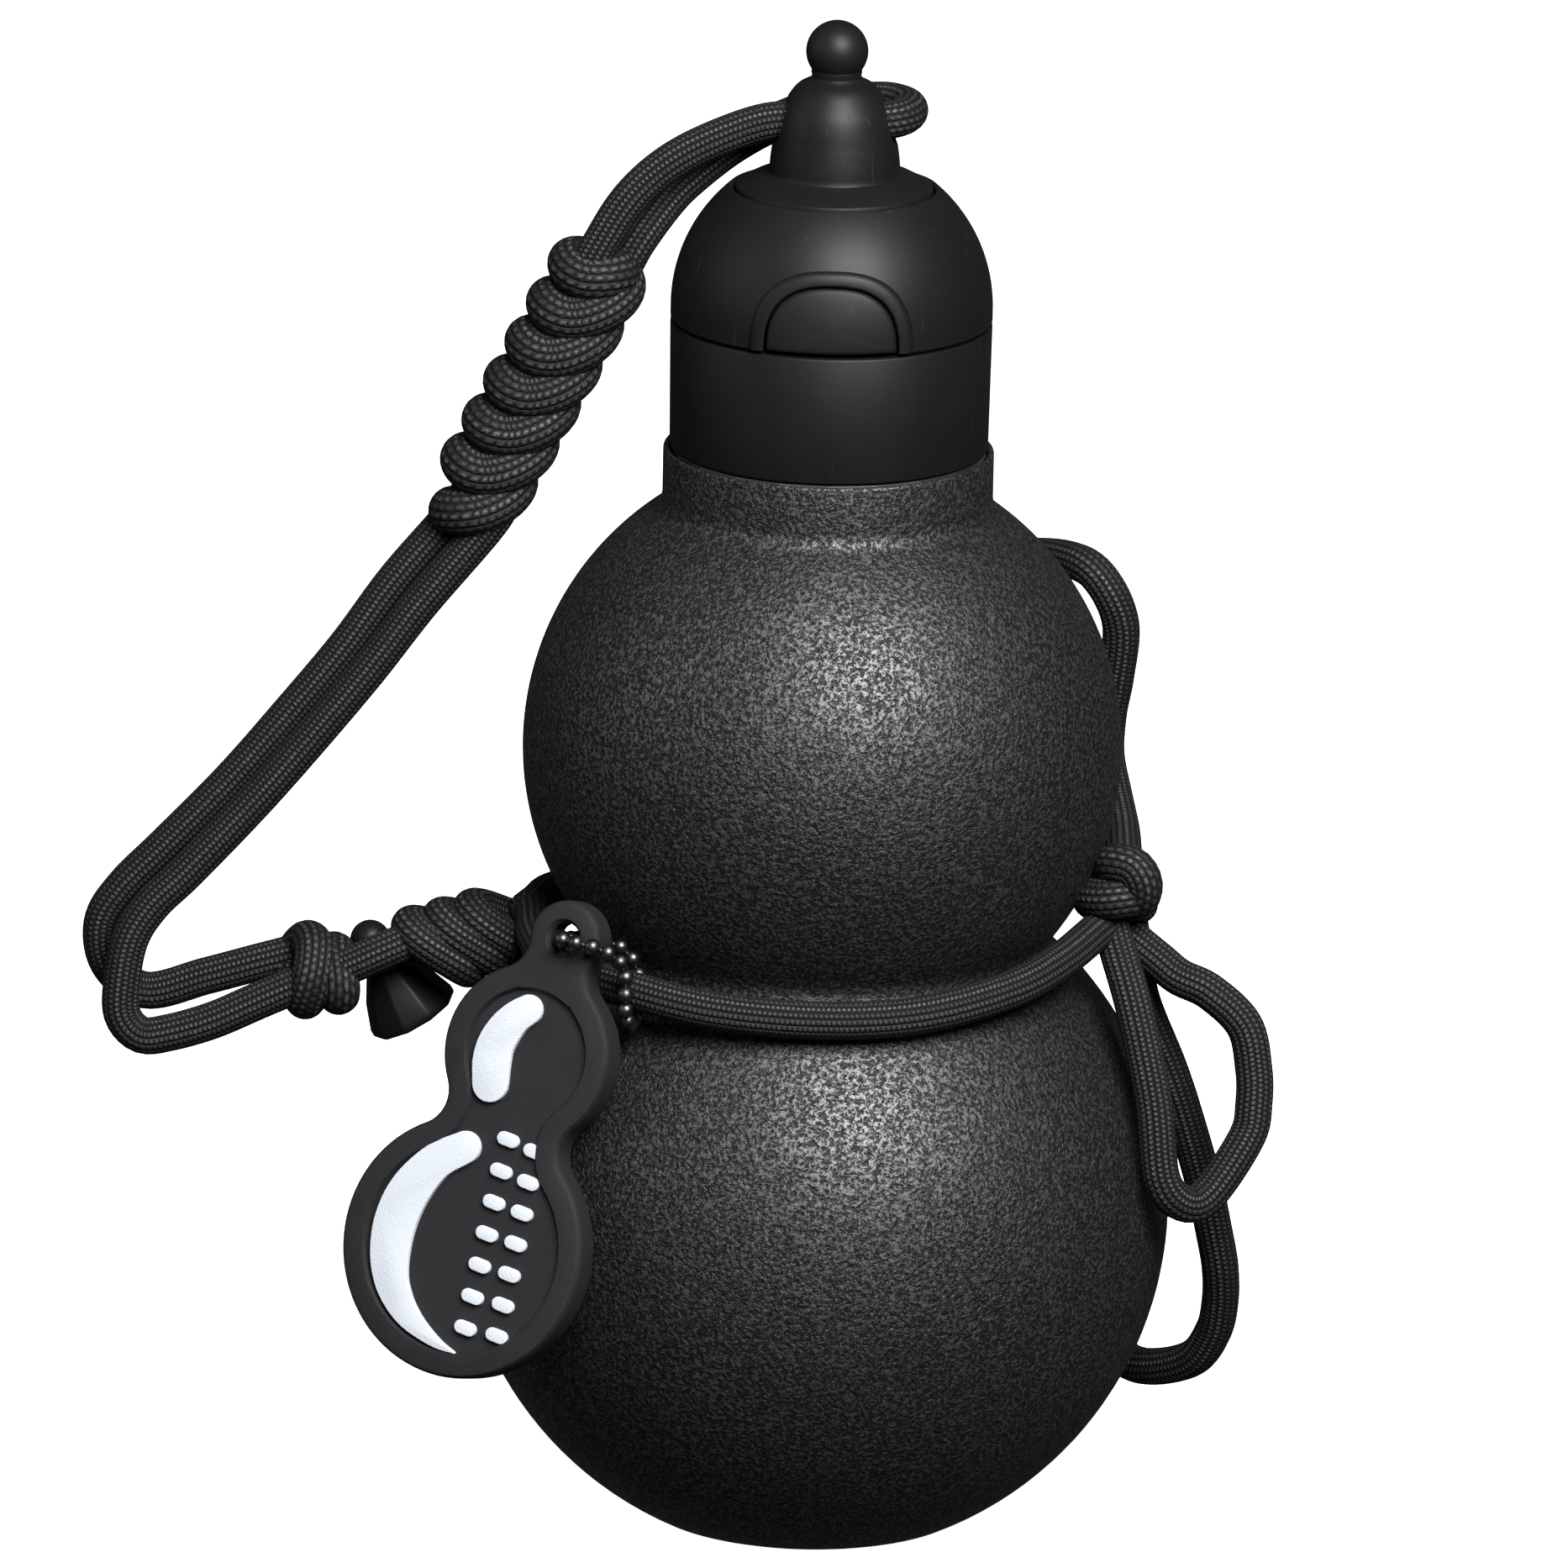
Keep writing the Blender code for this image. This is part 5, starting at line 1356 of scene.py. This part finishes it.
        self.stretch("bow_front_loop", ("bow_loop_front",), self.sunk(BOW_FRONT))
        self.stretch("bow_rear_loop", ("bow_loop_rear",), self.sunk(BOW_REAR))


@dataclass
class Clip:
    """Plastic cord clip: a round lobe, a narrow neck and a flared, faceted foot."""

    top: tuple = (-0.0594, 0.005, 0.0755)
    axis: tuple = (0.5, 0.06, -0.86)
    length: float = 0.0137
    lobe_r: float = 0.0027
    neck_r: float = 0.0021
    flare_r: float = 0.0062
    slope: tuple = ((0.0035, 0.0050), (0.0049, 0.0074))
    facets: int = 10

    def build(self) -> None:
        """Turn the lobe and the faceted foot, and set them on the clip's own axis."""
        lobe = arc((0.0, 0.0), self.lobe_r, -math.pi / 2, math.pi / 3, 14)
        lobe[0] = (0.0, -self.lobe_r)
        neck = lobe[-1][1] + 0.0006
        head = lathe("clip_lobe", lobe + [(self.neck_r, neck), (0.0, neck)], 40)
        end = self.length - self.lobe_r / 2
        foot = [(0.0, 0.001), (self.neck_r, 0.001), (self.neck_r, self.lobe_r), *self.slope,
                (self.flare_r, self.length - self.lobe_r), (self.flare_r, end - 0.0004),
                (self.flare_r - 0.0007, end), (0.0, end)]
        body = lathe("clip_foot", foot, self.facets)
        soften(body, 0.0003, 3, 20.0)
        gather(body, [head])
        body.data.transform(aimed(self.top, Vector(self.axis)))
        body.name = "clip_moulding"
        hand_over(body, CLIP_PLASTIC, Body.BOTTLE, 24.0, "cord_clip")


@dataclass
class Tag:
    """Rubber gourd tag with its raised rim, two inlays and plain marks, and its bead chain."""

    turn: float = math.radians(25.0)
    lean: float = math.radians(15.0)
    roll: float = math.radians(12.0)
    standoff: float = 0.001
    hole_x: float = -0.0324
    hole_z: float = 0.0862
    thick: float = 0.005
    ear_r: float = 0.005
    small_r: float = 0.0119
    large_r: float = 0.0173
    small_drop: float = 0.0161
    large_drop: float = 0.043
    fillet: float = 0.0045
    hole_r: float = 0.0021
    rim_w: float = 0.0032
    field: float = 0.0008
    inlay_t: float = 0.0005
    bead_r: float = 0.0011
    bars: int = 7
    bar: tuple = (0.0016, 0.0009)
    columns: tuple = (((0.0015, 0.0275), (0.0042, 0.0528)), ((0.0056, 0.0277), (0.0088, 0.0522)))
    inlay_edge: float = 0.00015
    ear_steps: int = 14
    fillet_steps: int = 8
    upper: tuple = ((-1.6, 10.5, 2.0), (-2.92, 12.06, 2.2), (-3.89, 14.04, 2.45), (-4.45, 16.34, 2.6),
                    (-4.28, 18.63, 2.7), (-3.47, 21.4, 2.55))
    lower: tuple = ((-3.93, 30.5, 2.15), (-7.3, 33.8, 2.45), (-9.5, 38.5, 2.9), (-10.1, 43.0, 3.0),
                    (-9.45, 47.2, 2.8), (-8.0, 50.5, 2.4), (-5.95, 52.8, 2.0), (-3.8, 54.3, 1.6),
                    (-1.5, 55.3, 1.15), (1.2, 56.1, 0.65), (3.9, 56.4, 0.12))

    def axes(self) -> tuple[Vector, Vector, Vector, Vector]:
        """Find how the tag hangs against the lower bulb.

        Returns:
            Its hole's centre and its across, down and outward directions.
        """
        shell = Shell()
        flat = math.cos(self.lean)
        out = Vector((-math.sin(self.turn) * flat, -math.cos(self.turn) * flat, math.sin(self.lean)))
        plane = shell.lower_z * out.z + shell.lower_r + self.standoff + self.thick / 2
        hole_y = (plane - self.hole_x * out.x - self.hole_z * out.z) / out.y
        down = (-Vector((0, 0, 1)) + out * out.z).normalized()
        down = Matrix.Rotation(-self.roll, 3, out) @ down
        return Vector((self.hole_x, hole_y, self.hole_z)), out.cross(down), down, out

    def outline(self, inset: float) -> list:
        """Outline of the tag moved in by an inset, with as many points for every inset.

        Args:
            inset: How far it lies inside the edge.

        Returns:
            (across, down) points, one side and then its mirror.
        """
        circles = [(0.0, self.ear_r - inset, self.ear_steps), (self.small_drop, self.small_r - inset, 20),
                   (self.large_drop, self.large_r - inset, 36)]
        half = strung(circles, self.fillet + inset, -math.pi / 2, math.pi / 2, self.fillet_steps)
        half[0] = (0.0, half[0][1])
        half[-1] = (0.0, half[-1][1])
        return half + [(-x, y) for x, y in half[-2:0:-1]]

    def placed(self, points: list, height: float) -> list[Vector]:
        """Points of the tag's plane at a height over its middle plane."""
        hole, across, down, out = self.axes()
        return [hole + across * x + down * y + out * height for x, y in points]

    def pill(self, middle: tuple, half_w: float, half_h: float) -> list:
        """Outline of a short round-ended bar.

        Args:
            middle: Its middle.
            half_w: Half its length.
            half_h: Half its height.

        Returns:
            (across, down) points.
        """
        run = half_w - half_h
        right = arc((middle[0] + run, middle[1]), half_h, -math.pi / 2, math.pi / 2, 10)
        left = arc((middle[0] - run, middle[1]), half_h, math.pi / 2, 3 * math.pi / 2, 10)
        return right + left

    def stroke(self, knots: tuple) -> list:
        """Outline of a stroke with a varying width and round ends.

        Args:
            knots: (across, down, half width) points along its middle, in millimetres.

        Returns:
            (across, down) points.
        """
        middle = smooth_path(mm(*knots), 0.0004)
        left = []
        right = []
        for i, point in enumerate(middle):
            run = middle[min(i + 1, len(middle) - 1)] - middle[max(i - 1, 0)]
            side = Vector((-run.y, run.x)).normalized() * point.z
            left.append((point.x + side.x, point.y + side.y))
            right.append((point.x - side.x, point.y - side.y))
        caps = []
        for end, first in ((middle[-1], left[-1]), (middle[0], right[0])):
            start = math.atan2(first[1] - end.y, first[0] - end.x)
            caps.append(arc((end.x, end.y), end.z, start, start - math.pi, 12)[1:-1])
        return left + caps[0] + right[::-1] + caps[1]

    def recess(self, inset: float) -> list:
        """Outline of the recess: the tag's own, with the upper round closed over the ear.

        Args:
            inset: How far it lies inside the edge.

        Returns:
            (across, down) points.
        """
        points = self.outline(inset)
        first = self.ear_steps + self.fillet_steps - 1
        kept = points[first:len(points) - first + 1]
        angle = math.atan2(kept[0][1] - self.small_drop, kept[0][0])
        return kept + arc((0.0, self.small_drop), self.small_r - inset, -math.pi - angle, angle, 20)[1:-1]

    def slab(self, name: str, outline: list, low: float, high: float, edge: float) -> Piece:
        """Make a flat piece with rounded edges in the tag's plane.

        Args:
            name: Its name.
            outline: Its outline.
            low: Height of its back.
            high: Height of its face.
            edge: Radius of its edges.

        Returns:
            The piece.
        """
        piece = loft(name, [self.placed(outline, low), self.placed(outline, high)])
        soften(piece, edge, 3, 50.0)
        return piece

    def build_body(self) -> None:
        """Body with rounded edges, a sloped recess and a rounded eye."""
        half = self.thick / 2
        edge = [(0.0012, -half), (0.0005, -half + 0.0002), (0.0001, -half + 0.0006), (0.0, -half + 0.0011),
                (0.0, half - 0.0010), (0.0001, half - 0.0005), (0.0004, half - 0.00015), (0.0009, half)]
        body = loft("tag_rubber_body", [self.placed(self.outline(i), h) for i, h in edge])
        wall = [(0.0003, half - self.field), (0.00005, half - 0.0002), (-0.0004, half + 0.0004)]
        walls = [self.placed(self.recess(self.rim_w + inset), height) for inset, height in wall]
        cut(body, loft("tag_recess", walls))
        hole, _, _, out = self.axes()
        wide = self.hole_r + 0.0005
        eye = [(0.0, -half - 0.002), (wide, -half - 0.002), (wide, -half), (self.hole_r, -half + 0.0007),
               (self.hole_r, half - 0.0007), (wide, half), (wide, half + 0.002), (0.0, half + 0.002)]
        cutter = lathe("tag_eye", eye, 40)
        cutter.data.transform(aimed(hole, out))
        cut(body, cutter)
        hand_over(body, TAG_BLACK, Body.TAG, 32.0, "tag_body")

    def build_inlays(self) -> None:
        """Two white inlays and two columns of plain short bars."""
        base = self.thick / 2 - self.field + CLEARANCE
        low = base - 0.0004
        high = base + self.inlay_t
        for name, knots, node in (("tag_upper_inlay", self.upper, "tag_inlay_upper"),
                                  ("tag_lower_inlay", self.lower, "tag_inlay_lower")):
            inlay = self.slab(name, self.stroke(knots), low, high, self.inlay_edge)
            hand_over(inlay, TAG_PALE, Body.TAG, 40.0, node)
        bars = []
        for first, last in self.columns:
            for i in range(self.bars):
                share = i / (self.bars - 1)
                middle = tuple(a + (b - a) * share for a, b in zip(first, last))
                bars.append(self.slab(f"bar_{len(bars)}", self.pill(middle, *self.bar), low, high - 0.0001,
                                      self.inlay_edge))
        gather(bars[0], bars[1:])
        bars[0].name = "tag_plain_bars"
        hand_over(bars[0], TAG_PALE, Body.TAG, 40.0)

    def build_chain(self) -> None:
        """Bead chain: one bead copied along the loop, with thin links between."""
        hole, _, _, _ = self.axes()
        path = smooth_path([hole, *CHAIN_ROUTE, hole], 2.1 * self.bead_r)
        clear()
        bpy.ops.mesh.primitive_uv_sphere_add(segments=14, ring_count=9, radius=self.bead_r)
        bead = settle("chain_bead")
        clear()
        bpy.ops.mesh.primitive_cylinder_add(vertices=8, radius=0.35 * self.bead_r, depth=1.0)
        joiner = settle("chain_link")
        parts = []
        for p, q in zip(path, path[1:]):
            between = aimed((p + q) / 2, q - p) @ Matrix.Diagonal((1, 1, (q - p).length, 1))
            for model, place in ((bead, Matrix.Translation(p)), (joiner, between)):
                part = link(model.name, model.data.copy())
                part.data.transform(place)
                parts.append(part)
        bpy.data.objects.remove(bead)
        bpy.data.objects.remove(joiner)
        chain = parts[0]
        gather(chain, parts[1:])
        chain.name = "bead_chain"
        hand_over(chain, CHAIN, Body.BOTTLE, 60.0, "tag_chain")

    def build(self) -> None:
        """Build the body, its inlays and its chain."""
        self.build_body()
        self.build_inlays()
        self.build_chain()


@dataclass
class Inside:
    """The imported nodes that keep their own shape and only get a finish."""

    finishes: tuple = (
        (STEEL, ("inner_liner", "base_plate", "hinge_pin", "hinge_spring", "button_spring",
                 "finial_screw")),
        (GETTER_STEEL, ("getter",)),
        (LINER_PLASTIC, ("lid_insert", "spout", "cover_liner")),
        (SILICONE, ("lid_seal_ring", "spout_plug")),
    )

    def build(self) -> None:
        """Assign each finish to its nodes."""
        for finish, names in self.finishes:
            for name in names:
                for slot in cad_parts[name].material_slots:
                    slot.material = finish.material()
                LOG.info("%s: %s", name, finish.name)


@dataclass
class Studio:
    """Pale floor, soft lights and the camera at the photograph's angle."""

    target: tuple = (-0.00494, 0.0, 0.09954)
    elevation: float = 15.5
    roll: float = 1.215
    lens: float = 500.0
    frame_width: float = 0.2073
    ambient: float = 0.04
    lights: tuple = (("key_softbox", 20.0, 42.0, 1.1, 0.62, 34.0),
                     ("side_softbox", -75.0, 25.0, 1.4, 0.8, 3.0))

    def toward(self, azimuth: float, elevation: float) -> Vector:
        """Direction from the object to a place round it.

        Args:
            azimuth: Degrees to the right of the camera.
            elevation: Degrees over the floor.

        Returns:
            The direction.
        """
        a = math.radians(azimuth)
        e = math.radians(elevation)
        return Vector((math.sin(a) * math.cos(e), -math.cos(a) * math.cos(e), math.sin(e)))

    def build_camera(self) -> None:
        """Long lens, level with the photograph, and leaning as it does."""
        data = bpy.data.cameras.new("photo_camera")
        data.lens = self.lens
        data.sensor_width = 36.0
        data.clip_end = 50.0
        camera = link("photo_camera", data)
        away = self.toward(0.0, self.elevation)
        place = Vector(self.target) + away * self.frame_width * self.lens / data.sensor_width
        camera.matrix_world = aimed(place, -away, "-Z") @ Matrix.Rotation(math.radians(self.roll), 4, "Z")
        bpy.context.scene.camera = camera

    def softbox(self, name: str, azimuth: float, elevation: float, distance: float, size: float,
                power: float) -> None:
        """One square area light aimed at the bottle.

        Args:
            name: Name of the light.
            azimuth: Degrees to the right of the camera.
            elevation: Degrees over the floor.
            distance: Distance from the bottle.
            size: Side of the square.
            power: Power in watts.
        """
        data = bpy.data.lights.new(name, "AREA")
        data.size = size
        data.energy = power
        away = self.toward(azimuth, elevation)
        light = link(name, data)
        light.matrix_world = aimed(Vector(self.target) + away * distance, -away, "-Z")

    def build_room(self) -> None:
        """Floor, world and lights."""
        clear()
        bpy.ops.mesh.primitive_grid_add(x_subdivisions=4, y_subdivisions=4, size=40)
        floor = settle("studio_floor")
        floor.data.materials.append(FLOOR.material())
        floor.visible_diffuse = False
        floor.visible_glossy = False
        world = bpy.data.worlds.new("soft_room")
        world.use_nodes = True
        background = world.node_tree.nodes["Background"].inputs
        background["Color"].default_value = WHITE
        background["Strength"].default_value = self.ambient
        bpy.context.scene.world = world
        for light in self.lights:
            self.softbox(*light)
        bpy.context.scene.view_settings.view_transform = "Standard"


def main() -> None:
    """Build the camera and the cords first, then every other piece in order."""
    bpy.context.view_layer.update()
    studio = Studio()
    studio.build_camera()
    Lanyard().build()
    Shell().build()
    lid = Lid()
    lid.build_collar()
    lid.build_dome()
    lid.build_button()
    Finial().build()
    Clip().build()
    Tag().build()
    Inside().build()
    studio.build_room()
    bpy.context.view_layer.update()


if __name__ == "__main__":
    logging.basicConfig(level=logging.INFO, format="%(message)s")
    main()
